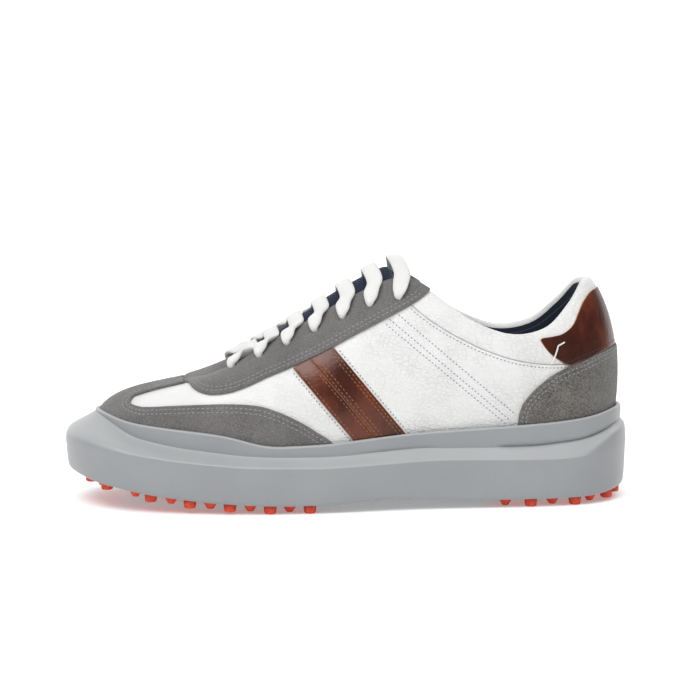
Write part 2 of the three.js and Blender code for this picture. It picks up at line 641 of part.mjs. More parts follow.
function throughEyelet(k, inwards) {
  const along = (t) => aroundAt(k, t);
  const steps = [
    () => knot(skin(k, eyeletT + 0.045, overlayOuter + 2.6), along(0.95), laceWidth * 0.75, 1.8),
    () => knot(skin(k, eyeletT, overlayOuter + 1.2), along(eyeletT), bunch, bunch),
    () => knot(skin(k, eyeletT, -1.5), along(eyeletT).add(upAt(k, eyeletT)), bunch, bunch),
    () => knot(skin(k, eyeletT, insideOut + 1.4), upAt(k, eyeletT), bunch, bunch),
  ];
  for (const step of inwards ? steps : steps.reverse()) step();
}

function bar(row, fromSide) {
  const stations = [eyeletStations[row], mirrored(eyeletStations[row])];
  const [from, to] = fromSide === "lateral" ? stations : [...stations].reverse();
  const b = (eyeletStations[row] - tongueRear) / (tongueFront - tongueRear);
  const middle = lastPoint(from, 1).add(lastPoint(to, 1)).multiplyScalar(0.5);
  middle.z += Math.max(crownAt(b), 0) + barLift + laceThickness;
  const rise = (k, share) => lastPoint(k, 1).lerp(middle, share).add(new THREE.Vector3(0, 0, 4.2 * (1 - share)));
  throughEyelet(from, false);
  const slope = aroundAt(eyeletStations[row], 1).setY(0);
  knot(rise(from, 0), slope.clone(), laceWidth, laceThickness);
  knot(rise(from, 0.5), slope.clone(), laceWidth, laceThickness);
  knot(middle, slope.clone(), laceWidth, laceThickness);
  knot(rise(to, 0.5), slope.clone(), laceWidth, laceThickness);
  knot(rise(to, 0), slope.clone(), laceWidth, laceThickness);
  throughEyelet(to, true);
}

const tailT = 0.76;
const runWidth = 5.6;
const tailStation = 6.75;
const hang = (k, t, out) => knot(skin(k, t, out), aroundAt(k, t), runWidth, laceThickness);
const tailLevels = [0.7, 0.62, 0.55];
for (const t of [...tailLevels].reverse()) hang(mirrored(tailStation), t, insideOut - 2.4);
const firstStation = mirrored(eyeletStations[0]);
for (let k = mirrored(tailStation + 0.7); k > firstStation + 0.2; k -= 0.5)
  knot(skin(k, tailT, insideOut), upAt(k, tailT), runWidth, laceThickness);
for (let row = 0; row < eyeletRows; row++) {
  const from = row % 2 === 0 ? "medial" : "lateral";
  bar(row, from);
  if (row + 1 === eyeletRows) continue;
  const side = from === "medial" ? (k) => k : mirrored;
  const next = eyeletStations[row + 1];
  for (const share of [0.3, 0.7]) {
    const k = side(THREE.MathUtils.lerp(eyeletStations[row], next, share));
    knot(skin(k, eyeletT, insideOut), upAt(k, eyeletT), runWidth * 0.8, laceThickness);
  }
}
knot(skin(tailStation + 0.2, 0.8, insideOut - 0.6), aroundAt(tailStation, 0.8), runWidth, laceThickness);
for (const t of tailLevels) hang(tailStation, t, insideOut - 2.4);

const laceLine = new THREE.CatmullRomCurve3(knots.map((each) => each.at), false, "centripetal");
const laceCorners = [[1, 1], [-1, 1], [-1, -1], [1, -1]];
const laceRings = knots.map((each, i) => {
  const tangent = laceLine.getTangent(i / (knots.length - 1));
  const side = each.side.clone().addScaledVector(tangent, -each.side.dot(tangent)).normalize();
  const thickWay = tangent.clone().cross(side).normalize();
  return laceCorners.map(([p, q]) =>
    each.at.clone().addScaledVector(side, (p * each.width) / 2).addScaledVector(thickWay, (q * each.thick) / 2));
});
add("lace", loft(laceRings), "lace");

const tipLength = 14;
const tipRadius = 1.6;
for (const [name, k] of [["lace_tip_lateral", tailStation], ["lace_tip_medial", mirrored(tailStation)]]) {
  const end = skin(k, tailLevels[2], insideOut - 2.4);
  const before = skin(k, tailLevels[1], insideOut - 2.4);
  const way = end.clone().sub(before).normalize();
  const tip = new THREE.CylinderGeometry(tipRadius, tipRadius, tipLength, 8);
  tip.applyQuaternion(new THREE.Quaternion().setFromUnitVectors(new THREE.Vector3(0, 1, 0), way));
  tip.translate(...end.addScaledVector(way, tipLength / 2 + gap * 2).toArray());
  add(name, tip, "tip");
}

// The sole's box is centred on the origin.
const soleBox = new THREE.Box3().setFromObject(shoe.getObjectByName("midsole_cup"));
shoe.position.y = -(soleBox.min.y + soleBox.max.y) / 2;

export default shoe;
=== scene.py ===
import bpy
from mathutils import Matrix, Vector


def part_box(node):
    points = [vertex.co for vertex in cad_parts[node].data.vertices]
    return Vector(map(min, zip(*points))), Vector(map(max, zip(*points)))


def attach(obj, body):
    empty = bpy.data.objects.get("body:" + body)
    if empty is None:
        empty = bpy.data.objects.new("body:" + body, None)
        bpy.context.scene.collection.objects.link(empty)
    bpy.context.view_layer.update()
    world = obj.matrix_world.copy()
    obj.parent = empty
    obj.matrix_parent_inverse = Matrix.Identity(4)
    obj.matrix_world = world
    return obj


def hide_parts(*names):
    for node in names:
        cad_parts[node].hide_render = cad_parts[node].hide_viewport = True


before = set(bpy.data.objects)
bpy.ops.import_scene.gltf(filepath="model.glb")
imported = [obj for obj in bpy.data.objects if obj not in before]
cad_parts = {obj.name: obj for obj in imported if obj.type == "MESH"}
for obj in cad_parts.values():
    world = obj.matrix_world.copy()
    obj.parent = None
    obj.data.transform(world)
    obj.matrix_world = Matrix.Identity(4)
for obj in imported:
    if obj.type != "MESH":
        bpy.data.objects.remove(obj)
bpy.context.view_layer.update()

import math
import random

import bmesh
import bpy
import numpy as np
from mathutils import Vector
from mathutils.bvhtree import BVHTree
from mathutils.geometry import delaunay_2d_cdt

random.seed(7)
mm = 0.001
print("frame loaded")

# The last that the upper is pulled over, in millimetres. Each station: foot x and half width,
# shoulder x, half width and height, top edge x, half width and height, heel seam first, toe tip last.
last = {"stretch": 278 / 281, "toeShift": 7, "archHollow": 5, "shoulderPull": 0.72, "footLift": 0.8}
stations = np.array([
    [-143, 0, -154, 0, 88, -132, 0, 121],
    [-137, 17, -146, 20, 86, -127, 12, 119],
    [-123, 27, -128, 33, 80, -117, 22, 106.5],
    [-104, 31, -106, 37, 72, -104, 29, 94.5],
    [-82, 32.5, -84, 39, 70, -85, 32, 91.5],
    [-58, 33, -60, 39.5, 74, -64, 30, 99.5],
    [-32, 35, -38, 41, 84, -46, 24, 112.5],
    [-6, 38.5, -14, 42, 86, -27, 18, 120.5],
    [22, 42, 12, 45, 80, 0, 16, 109.5],
    [50, 44, 40, 45.5, 71, 24, 14.5, 96],
    [78, 43, 70, 43.5, 63, 45, 12.5, 84],
    [105, 37.5, 101, 38.5, 59.5, 56, 10, 75.8],
    [127, 23.5, 129, 24.5, 59.5, 63.5, 6, 69],
    [137, 0, 143.5, 0, 63.5, 67.5, 0, 65.2],
])
toeStation = len(stations) - 1
loopStations = 2 * toeStation
stretch = last["stretch"]
middleY = sum(corner[1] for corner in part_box("shank")) / 2 / mm  # the last's middle line in the frame


def heights(points):
    # a height along the shoe, eased over a few millimetres
    xs, zs = np.array(points, float).T

    def at(x):
        return sum(np.interp(np.asarray(x) / stretch + d, xs, zs) for d in (-6, -3, 0, 3, 6)) / 5
    return at


bottomAt = heights([(-152, 7.5), (-139, 5), (-125, 4), (-70, 4), (-20, 6), (12, 4), (45, 4), (80, 6),
                    (110, 9.5), (138, 14.5), (152, 18.5)])
bedAt = heights([(-145, 28), (-100, 27), (-40, 23.5), (20, 19), (60, 18.5), (100, 22.5), (137, 30)])
creaseAt = heights([(-148, 31), (-131, 27), (-110, 25.5), (-45, 26.5), (15, 24), (60, 25), (95, 28),
                    (120, 31.5), (150, 33.5)])
rimHeights = heights([(-146, 50), (-129, 47), (-110, 45), (-86, 43.5), (-30, 40.5), (0, 37.5), (14, 36),
                 (46, 35), (60, 38.6), (68, 40.8), (84, 42.6), (107, 44.6), (128, 46.6), (138, 48.6)])


def rimAt(x):
    # the rim rises a little more round the toe
    return rimHeights(x) + 2.4 * smoothStep(x, 112, 139) + 0.6 * smoothStep(-np.asarray(x), 128, 145)


def smoothStep(x, low, top):
    s = np.clip((np.asarray(x, float) - low) / (top - low), 0, 1)
    return s * s * (3 - 2 * s)


def bow(x):
    return -last["toeShift"] * smoothStep(x, 10 * stretch, 150 * stretch)


def loopPoints(columns):
    rows = []
    for k in range(loopStations):
        row = stations[loopStations - k if k > toeStation else k]
        side = -1 if k > toeStation else 1
        x, y, z = (row[c] if c is not None else 0 for c in columns)
        rows.append((x * stretch, y * side, z))
    return np.array(rows, float)


footLoop, shoulderLoop, topLoop = loopPoints((0, 1, None)), loopPoints((2, 3, 4)), loopPoints((5, 6, 7))


def eased(a, b, c, d, f):
    # a point between b and c on a smooth curve through all four
    return 0.5 * (2 * b + (c - a) * f + (2 * a - 5 * b + 4 * c - d) * f ** 2
                  + (3 * b - a - 3 * c + d) * f ** 3)


def roundLoop(points, k):
    # a smooth closed curve through the points, k counted in points
    k = np.asarray(k, float) % len(points)
    i = np.floor(k).astype(int)
    f = (k - i)[:, None]
    return eased(*(points[(i + step) % len(points)] for step in (-1, 0, 1, 2)), f)


def footPoint(k):
    p = roundLoop(footLoop, k)
    nearArch = smoothStep(60 * stretch - np.abs(p[:, 0] + 12 * stretch), 0, 60)
    hollow = last["archHollow"] * nearArch * (p[:, 1] < 0)
    p[:, 1] += bow(p[:, 0]) + hollow
    p[:, 2] = bedAt(p[:, 0]) + last["footLift"]
    return p


def lastPoint(k, t):
    # the outer face of the white leather: k runs round the shoe, t from the sole to the top edge
    k, t = np.broadcast_arrays(np.atleast_1d(np.asarray(k, float)), np.asarray(t, float))
    foot, shoulder, top = footPoint(k), roundLoop(shoulderLoop, k), roundLoop(topLoop, k)
    shoulder[:, 1] += bow(shoulder[:, 0])
    top[:, 1] += bow(top[:, 0])
    pull = last["shoulderPull"]
    low, high = foot + (shoulder - foot) * pull, top + (shoulder - top) * pull
    t = t[:, None]
    return (1 - t) ** 3 * foot + 3 * (1 - t) ** 2 * t * low + 3 * (1 - t) * t * t * high + t ** 3 * top


def lastNormal(k, t):
    k, t = np.broadcast_arrays(np.atleast_1d(np.asarray(k, float)), np.asarray(t, float))
    around = lastPoint(k + 0.02, t) - lastPoint(k - 0.02, t)
    up = lastPoint(k, np.minimum(t + 0.02, 1)) - lastPoint(k, np.maximum(t - 0.02, 0))
    n = np.cross(up, around)
    return n / np.linalg.norm(n, axis=1)[:, None]


def skin(k, t, out):
    # a point off the leather's face, in metres in the shoe's frame
    out = np.atleast_1d(np.asarray(out, float))[:, None]
    p = lastPoint(k, t) + lastNormal(k, t) * out
    p[:, 1] += middleY
    return p * mm


def besideFoot(k, out, z):
    # a point level with the foot line, moved out from it
    k = np.atleast_1d(np.asarray(k, float))
    here = footPoint(k)
    along = footPoint(k + 0.05) - footPoint(k - 0.05)
    n = np.stack([along[:, 1], -along[:, 0]], axis=1)
    n /= np.linalg.norm(n, axis=1)[:, None]
    n *= np.where((n * here[:, :2]).sum(axis=1) < 0, -1, 1)[:, None]
    p = here.copy()
    p[:, :2] += n * np.reshape(out, (-1, 1))
    p[:, 2] = z(p[:, 0]) if callable(z) else z
    p[:, 1] += middleY
    return p * mm


# where a side-view place (x, z) lies on the last
sideK, sideT = np.linspace(0, toeStation, 261), np.linspace(0, 1, 81)
sideTable = lastPoint(np.repeat(sideK, len(sideT)), np.tile(sideT, len(sideK)))
sideTable = sideTable.reshape(len(sideK), len(sideT), 3)


def onSide(x, z):
    ts = np.array([np.interp(z, row[:, 2], sideT) for row in sideTable])
    xs = np.maximum.accumulate([np.interp(t, sideT, row[:, 0]) for t, row in zip(ts, sideTable)])
    k = np.interp(x, xs, sideK)
    return k, np.interp(k, sideK, ts)


def onTop(x, y, k=12.0, t=0.7):
    # where a plan-view place lies on the last, near a first guess
    for _ in range(25):
        here = lastPoint(k, t)[0]
        dk = (lastPoint(k + 0.01, t)[0] - here) / 0.01
        higher = min(t + 0.01, 1.0)
        dt = (lastPoint(k, higher)[0] - lastPoint(k, t - 0.01)[0]) / (higher - t + 0.01)
        step = np.linalg.solve(np.array([dk[:2], dt[:2]]).T, np.array([x, y]) - here[:2])
        k, t = k + np.clip(step[0], -0.5, 0.5), float(np.clip(t + np.clip(step[1], -0.15, 0.15), 0.02, 0.999))
    return k, t


def spline(points, steps=8):
    p = np.array(points, float)
    p = np.vstack([2 * p[0] - p[1], p, 2 * p[-1] - p[-2]])
    rows = []
    for i in range(1, len(p) - 2):
        rows += [eased(*p[i - 1:i + 3], f) for f in np.arange(steps) / steps]
    rows.append(p[-2])
    return np.array(rows)


def sideCurve(points, steps=8):
    # a smooth side-view edge (x, z) as places on the last
    return np.array([onSide(x * stretch, z) for x, z in spline(points, steps)])


def mirrored(curve):
    flipped = np.array(curve)[::-1].copy()
    flipped[:, 0] = loopStations - flipped[:, 0]
    return flipped


def line(a, b, count=2):
    return np.linspace(np.array(a, float), np.array(b, float), count)


# finishes
class Wire:
    # a shader socket that can be used in sums
    def __init__(self, tree, socket=None):
        self.tree, self.socket = tree, socket

    def node(self, kind, settings=None, sockets=None, out=0):
        made = self.tree.nodes.new(kind)
        for key, value in (settings or {}).items():
            if key == "stops":
                ramp = made.color_ramp.elements
                while len(ramp) < len(value):
                    ramp.new(0.5)
                for element, (place, colour) in zip(ramp, value):
                    element.position, element.color = place, (*colour, 1)
            else:
                setattr(made, key, value)
        for key, value in (sockets or {}).items():
            if isinstance(value, Wire):
                self.tree.links.new(value.socket, made.inputs[key])
            else:
                made.inputs[key].default_value = value
        return Wire(self.tree, made.outputs[out])

    def sum(self, operation, a, b=0.0):
        return self.node("ShaderNodeMath", {"operation": operation}, {0: a, 1: b})

    def __add__(self, other):
        return self.sum("ADD", self, other)

    def __radd__(self, other):
        return self.sum("ADD", other, self)

    def __sub__(self, other):
        return self.sum("SUBTRACT", self, other)

    def __rsub__(self, other):
        return self.sum("SUBTRACT", other, self)

    def __mul__(self, other):
        return self.sum("MULTIPLY", self, other)

    def __rmul__(self, other):
        return self.sum("MULTIPLY", other, self)

    def __truediv__(self, other):
        return self.sum("DIVIDE", self, other)

    def __pow__(self, other):
        return self.sum("POWER", self, other)

    def clamp(self):
        return self.node("ShaderNodeClamp", {}, {"Value": self})

    def span(self, low, top, toLow=0.0, toTop=1.0):
        return self.node("ShaderNodeMapRange", {"interpolation_type": "SMOOTHSTEP"},
                         {"Value": self, 1: low, 2: top, 3: toLow, 4: toTop})

    def mix(self, a, b):
        # this value picks between two colours
        pick = [(*c, 1) if isinstance(c, tuple) else c for c in (a, b)]
        return self.node("ShaderNodeMix", {"data_type": "RGBA"}, {0: self, 6: pick[0], 7: pick[1]}, 2)

    def place(self, kind="Object"):
        return self.node("ShaderNodeTexCoord", {}, {}, kind)

    def stretched(self, x, y, z):
        return self.node("ShaderNodeVectorMath", {"operation": "MULTIPLY"}, {0: self, 1: (x, y, z)})

    def axis(self, name):
        return self.node("ShaderNodeSeparateXYZ", {}, {0: self}, name)

    def noise(self, scale, detail=3.0, roughness=0.5):
        return self.node("ShaderNodeTexNoise", {}, {"Vector": self, "Scale": scale, "Detail": detail,
                                                   "Roughness": roughness})

    def cells(self, scale, feature="F1", randomness=1.0, out="Distance"):
        return self.node("ShaderNodeTexVoronoi", {"feature": feature},
                         {"Vector": self, "Scale": scale, "Randomness": randomness}, out)

    def wave(self, scale, direction="X", distortion=0.0):
        return self.node("ShaderNodeTexWave", {"bands_direction": direction},
                         {"Vector": self, "Scale": scale, "Distortion": distortion})

    def bump(self, strength, distance):
        return self.node("ShaderNodeBump", {}, {"Strength": strength, "Distance": distance, "Height": self})


def finish(name, fixed, build):
    made = bpy.data.materials.new(name)
    made.use_nodes = True
    tree = made.node_tree
    tree.nodes.clear()
    shader = tree.nodes.new("ShaderNodeBsdfPrincipled")
    output = tree.nodes.new("ShaderNodeOutputMaterial")
    tree.links.new(shader.outputs[0], output.inputs[0])
    for socket, value in fixed.items():
        shader.inputs[socket].default_value = value
    for socket, wire in build(Wire(tree)).items():
        tree.links.new(wire.socket, shader.inputs[socket])
    return made


def whiteLeather(w):
    at = w.place()
    bend = at.node("ShaderNodeTexNoise", {}, {"Vector": at, "Scale": 260.0, "Detail": 4.0}, "Color")
    warped = at.node("ShaderNodeVectorMath", {"operation": "ADD"},
                     {0: at, 1: bend.stretched(0.0030, 0.0030, 0.0022)})
    rearward = at.axis("X").span(0.10, -0.03)
    patches = at.noise(60.0, 2.0).span(0.35, 0.65, 0.45, 1.0)
    coarse = 1 - warped.stretched(0.85, 1, 1.1).cells(400.0, "DISTANCE_TO_EDGE").span(0.0, 0.13)
    fine = 1 - warped.cells(850.0, "DISTANCE_TO_EDGE").span(0.0, 0.16)
    groove = (coarse * (rearward * 0.85 + 0.08) + fine * 0.35) * patches
    pores = at.noise(2400.0, 2.0)
    waves = at.noise(110.0, 4.0, 0.6)
    height = groove * -0.55 + pores * 0.08 + waves * 0.9
    tone = (groove * 0.34 + at.noise(22.0, 3.0).span(0.3, 0.7) * 0.22).clamp()
    return {"Base Color": tone.mix((0.755, 0.755, 0.75), (0.57, 0.57, 0.567)),
            "Roughness": groove * 0.12 + 0.40,
            "Normal": height.bump(0.55, 0.0009)}


def suedeNap(speckle, cloud, dark, light, lift):
    def build(w):
        at = w.place()
        nap = at.noise(speckle, 6.0, 0.75)
        patches = at.noise(cloud, 4.0, 0.6).span(0.36, 0.64)
        fibres = at.stretched(1, 1, 0.45).noise(speckle * 2.1, 3.0, 0.8)
        tone = (nap.span(0.34, 0.66) * 0.74 + patches * 0.16 + fibres * 0.20 - 0.06).clamp()
        return {"Base Color": tone.mix(dark, light),
                "Roughness": nap * 0.08 + 0.88,
                "Normal": (nap * 0.7 + fibres * 0.5 + patches * 0.2).bump(lift, 0.0007)}
    return build


def brownLeather(w):
    at = w.place()
    burnish = at.stretched(1.0, 1, 0.62).noise(34.0, 4.0, 0.58).span(0.33, 0.70)
    streaks = at.stretched(1, 1, 0.35).noise(230.0, 5.0, 0.68)
    wrinkle = at.cells(260.0, "DISTANCE_TO_EDGE").span(0.0, 0.25)
    tone = (burnish * 0.62 + streaks * 0.42 - 0.13).clamp()
    colour = tone.node("ShaderNodeValToRGB", {"stops": [
        (0.0, (0.018, 0.0034, 0.0016)), (0.36, (0.055, 0.0095, 0.0036)), (0.70, (0.125, 0.027, 0.0090)),
        (1.0, (0.195, 0.056, 0.020))]}, {0: tone})
    return {"Base Color": colour,
            "Roughness": streaks * 0.20 + 0.22,
            "Normal": (wrinkle * 0.35 + streaks * 0.6 + burnish * 0.3).bump(0.3, 0.0004)}


def rawEdge(w):
    at = w.place()
    fibres = at.noise(1800.0, 4.0, 0.7)
    return {"Base Color": fibres.span(0.3, 0.7).mix((0.24, 0.10, 0.042), (0.42, 0.21, 0.10)),
            "Normal": fibres.bump(0.4, 0.0003)}


def soleFoam(w):
    at = w.place()
    speck = at.noise(1500.0, 3.0, 0.6)
    cloud = at.noise(20.0, 3.0)
    scuff = at.stretched(0.3, 0.3, 1).noise(160.0, 4.0, 0.7).span(0.58, 0.80)
    tone = (speck * 0.25 + cloud * 0.6).span(0.25, 0.65)
    # painted light: faces turned up are painted lighter, standing in for the light from above, so the shelf
    # over the crease reads brighter than the wall
    facing = at.node("ShaderNodeNewGeometry", {}, {}, "Normal").axis("Z").span(0.15, 0.6)
    return {"Base Color": ((tone - scuff * 0.3).clamp() * 0.35 + facing * 0.65).clamp().mix(
                (0.262, 0.272, 0.282), (0.372, 0.382, 0.390)),
            "Roughness": speck * 0.12 + scuff * 0.12 + 0.30,
            "Normal": (speck + scuff * 0.3).bump(0.10, 0.0002)}


def plateRubber(w):
    at = w.place()
    speck = at.noise(900.0, 4.0)
    return {"Base Color": speck.span(0.3, 0.7).mix((0.27, 0.28, 0.29), (0.35, 0.36, 0.37)),
            "Roughness": speck * 0.2 + 0.5, "Normal": speck.bump(0.2, 0.0003)}


def nubRubber(w):
    at = w.place()
    speck = at.noise(700.0, 4.0, 0.6)
    return {"Base Color": speck.span(0.3, 0.7).mix((0.56, 0.035, 0.012), (0.78, 0.075, 0.028)),
            "Roughness": speck * 0.2 + 0.36, "Normal": speck.bump(0.2, 0.0003)}


def knit(dark, light, scale):
    def build(w):
        at = w.place()
        rows = at.wave(scale, "Z", 1.2)
        lines = at.wave(scale, "X", 1.2)
        weave = rows * lines
        fuzz = at.noise(2200.0, 3.0)
        return {"Base Color": (weave * 0.7 + fuzz * 0.4 - 0.1).clamp().mix(dark, light),
                "Roughness": fuzz * 0.1 + 0.85, "Normal": (weave + fuzz * 0.3).bump(0.5, 0.0004)}
    return build


def laceWeave(w):
    at = w.place("UV")
    ribs = at.wave(0.5, "DIAGONAL")
    cross = at.stretched(1, -1, 1).wave(0.5, "DIAGONAL")
    braid = ribs.sum("MAXIMUM", ribs, cross)
    fuzz = w.place().noise(3000.0, 3.0)
    return {"Base Color": (braid * 0.5 + fuzz * 0.45).clamp().mix((0.66, 0.655, 0.64), (0.92, 0.918, 0.905)),
            "Roughness": fuzz * 0.1 + 0.8, "Normal": (braid + fuzz * 0.35).bump(0.8, 0.0004)}


def thread(colour, shade):
    def build(w):
        at = w.place()
        ply = at.noise(3200.0, 2.0)
        return {"Base Color": ply.span(0.3, 0.7).mix(shade, colour), "Normal": ply.bump(0.4, 0.0002)}
    return build


def plainFibre(dark, light, scale):
    def build(w):
        at = w.place()
        fibre = at.stretched(1, 2.5, 1).noise(scale, 5.0, 0.7)
        return {"Base Color": fibre.span(0.3, 0.7).mix(dark, light), "Normal": fibre.bump(0.3, 0.0003)}
    return build


def springSteel(w):
    at = w.place()
    brushed = at.stretched(1, 30, 30).noise(120.0, 4.0)
    return {"Base Color": brushed.mix((0.36, 0.37, 0.38), (0.56, 0.57, 0.58)),
            "Roughness": brushed * 0.25 + 0.22}


finishes = {
    "whiteLeather": finish("whiteLeather", {"Specular IOR Level": 0.4}, whiteLeather),
    "suede": finish("suede", {"Sheen Weight": 0.35, "Sheen Roughness": 0.5, "Specular IOR Level": 0.2},
                    suedeNap(1500.0, 48.0, (0.070, 0.067, 0.065), (0.215, 0.206, 0.199), 0.7)),
    "heelSuede": finish("heelSuede", {"Sheen Weight": 0.3, "Sheen Roughness": 0.5, "Specular IOR Level": 0.2},
                        suedeNap(1250.0, 60.0, (0.022, 0.020, 0.018), (0.245, 0.232, 0.215), 1.0)),
    "brownLeather": finish("brownLeather", {"Coat Weight": 0.22, "Coat Roughness": 0.2,
                                            "Specular IOR Level": 0.3}, brownLeather),
    "rawEdge": finish("rawEdge", {"Roughness": 0.85}, rawEdge),
    "soleFoam": finish("soleFoam", {"Specular IOR Level": 0.35}, soleFoam),
    "plateRubber": finish("plateRubber", {}, plateRubber),
    "nubRubber": finish("nubRubber", {}, nubRubber),
    "navyKnit": finish("navyKnit", {"Sheen Weight": 0.3},
                       knit((0.004, 0.008, 0.022), (0.022, 0.042, 0.095), 300.0)),
    "laceWeave": finish("laceWeave", {"Sheen Weight": 0.2}, laceWeave),
    "greyThread": finish("greyThread", {"Roughness": 0.6}, thread((0.20, 0.24, 0.29), (0.11, 0.135, 0.17))),
    "suedeThread": finish("suedeThread", {"Roughness": 0.6},
                          thread((0.33, 0.345, 0.385), (0.20, 0.215, 0.25))),
    "tanThread": finish("tanThread", {"Roughness": 0.6}, thread((0.36, 0.155, 0.075), (0.20, 0.08, 0.036))),
    "darkThread": finish("darkThread", {"Roughness": 0.6},
                         thread((0.05, 0.022, 0.014), (0.02, 0.009, 0.006))),
    "whiteThread": finish("whiteThread", {"Roughness": 0.7}, thread((0.85, 0.84, 0.82), (0.6, 0.59, 0.57))),
    "cushionFoam": finish("cushionFoam", {"Roughness": 0.95},
                          plainFibre((0.05, 0.055, 0.075), (0.11, 0.12, 0.15), 900.0)),
    "fibreBoard": finish("fibreBoard", {"Roughness": 0.9},
                         plainFibre((0.34, 0.26, 0.17), (0.52, 0.42, 0.30), 300.0)),
    "stiffener": finish("stiffener", {"Roughness": 0.8},
                        plainFibre((0.58, 0.55, 0.48), (0.74, 0.71, 0.64), 500.0)),
    "springSteel": finish("springSteel", {"Metallic": 1.0}, springSteel),
    "tipPlastic": finish("tipPlastic", {"Roughness": 0.2},
                         plainFibre((0.72, 0.72, 0.71), (0.84, 0.84, 0.83), 800.0)),
}
print("finishes made")


# modelling helpers
def clearSelection():
    bpy.ops.object.select_all(action="DESELECT")
    bpy.context.view_layer.objects.active = None


def only(obj):
    clearSelection()
    obj.select_set(True)
    bpy.context.view_layer.objects.active = obj


def applyAll(obj):
    only(obj)
    for modifier in list(obj.modifiers):
        bpy.ops.object.modifier_apply(modifier=modifier.name)


def smooth(obj, degrees=40):
    only(obj)
    bpy.ops.object.shade_smooth_by_angle(angle=math.radians(degrees))
    applyAll(obj)


def subdivided(obj):
    fine = obj.modifiers.new("fine", "SUBSURF")
    fine.levels = fine.render_levels = 1
    applyAll(obj)


def walled(obj, thickness):
    # gives a sheet its thickness, away from its outer face
    solid = obj.modifiers.new("thickness", "SOLIDIFY")
    solid.thickness, solid.offset = thickness * mm, -1
    return solid


def editAll(obj, *steps):
    # runs edit-mode operators on the whole mesh
    only(obj)
    bpy.ops.object.mode_set(mode="EDIT")
    bpy.ops.mesh.select_all(action="SELECT")
    for operator, values in steps:
        getattr(bpy.ops.mesh, operator)(**values)
    bpy.ops.object.mode_set(mode="OBJECT")


def dress(obj, *names):
    obj.data.materials.clear()
    for name in names:
        obj.data.materials.append(finishes[name])


def piece(obj, body, slot, *nodes):
    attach(obj, body)
    if nodes:
        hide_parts(*nodes)
    return obj


def meshObject(name, points, faces):
    mesh = bpy.data.meshes.new(name)
    mesh.from_pydata([tuple(p) for p in points], [], [tuple(f) for f in faces])
    mesh.update()
    obj = bpy.data.objects.new(name, mesh)
    bpy.context.scene.collection.objects.link(obj)
    return obj


def turnOut(obj):
    editAll(obj, ("remove_doubles", {"threshold": 1e-6}), ("normals_make_consistent", {"inside": False}))


def gridMesh(name, rings):
    # a grid with its rows of points laid on the rings
    clearSelection()
    across = len(rings[0])
    bpy.ops.mesh.primitive_grid_add(x_subdivisions=across - 1, y_subdivisions=len(rings) - 1, size=1)
    obj = bpy.context.active_object
    obj.name = obj.data.name = name
    for number, vertex in enumerate(obj.data.vertices):
        vertex.co = rings[number // across][number % across]
    return obj


def ringByRing(name, rings, capStart=True, capEnd=True):
    # a circle set on the first ring, its edge extruded to each of the next ones
    clearSelection()
    count = len(rings[0])
    bpy.ops.mesh.primitive_circle_add(vertices=count, radius=1, fill_type="NOTHING")
    obj = bpy.context.active_object
    obj.name = obj.data.name = name
    bm = bmesh.new()
    bm.from_mesh(obj.data)
    bm.verts.ensure_lookup_table()
    newest = list(bm.verts)
    placed = list(newest)  # every vertex, ring by ring
    for vertex, place in zip(newest, rings[0]):
        vertex.co = place
    if capStart:
        ladder(bm, newest)
    for ring in rings[1:]:
        edges = [bm.edges.get((newest[i], newest[(i + 1) % count])) for i in range(count)]
        made = bmesh.ops.extrude_edge_only(bm, edges=edges)
        fresh = {v for v in made["geom"] if isinstance(v, bmesh.types.BMVert)}
        newest = [next(e.other_vert(v) for e in v.link_edges if e.other_vert(v) in fresh) for v in newest]
        placed += newest
        for vertex, place in zip(newest, ring):
            vertex.co = place
    if capEnd:
        ladder(bm, newest)
    bmesh.ops.recalc_face_normals(bm, faces=bm.faces)
    # the extrude keeps no fixed order, so the mesh is written again in the order of the rings
    for number, vertex in enumerate(placed):
        vertex.index = number
    faces = []
    for face in bm.faces:
        corners = [vertex.index for vertex in face.verts]
        first = corners.index(min(corners))
        faces.append(corners[first:] + corners[:first])
    points = [tuple(vertex.co) for vertex in placed]
    bm.free()
    obj.data.clear_geometry()
    obj.data.from_pydata(points, [], sorted(faces))
    obj.matrix_world.identity()
    return obj


def ladder(bm, ring):
    # closes a ring with rungs from side to side
    count = len(ring)
    for i in range(count // 2):
        corners = [ring[i], ring[i + 1], ring[count - i - 1], ring[(count - i) % count]]
        bm.faces.new(list(dict.fromkeys(corners)))


# panels cut from a sheet and laid on the last
flatScale = np.array([11.0, 90.0])  # one station and one t, in flat millimetres


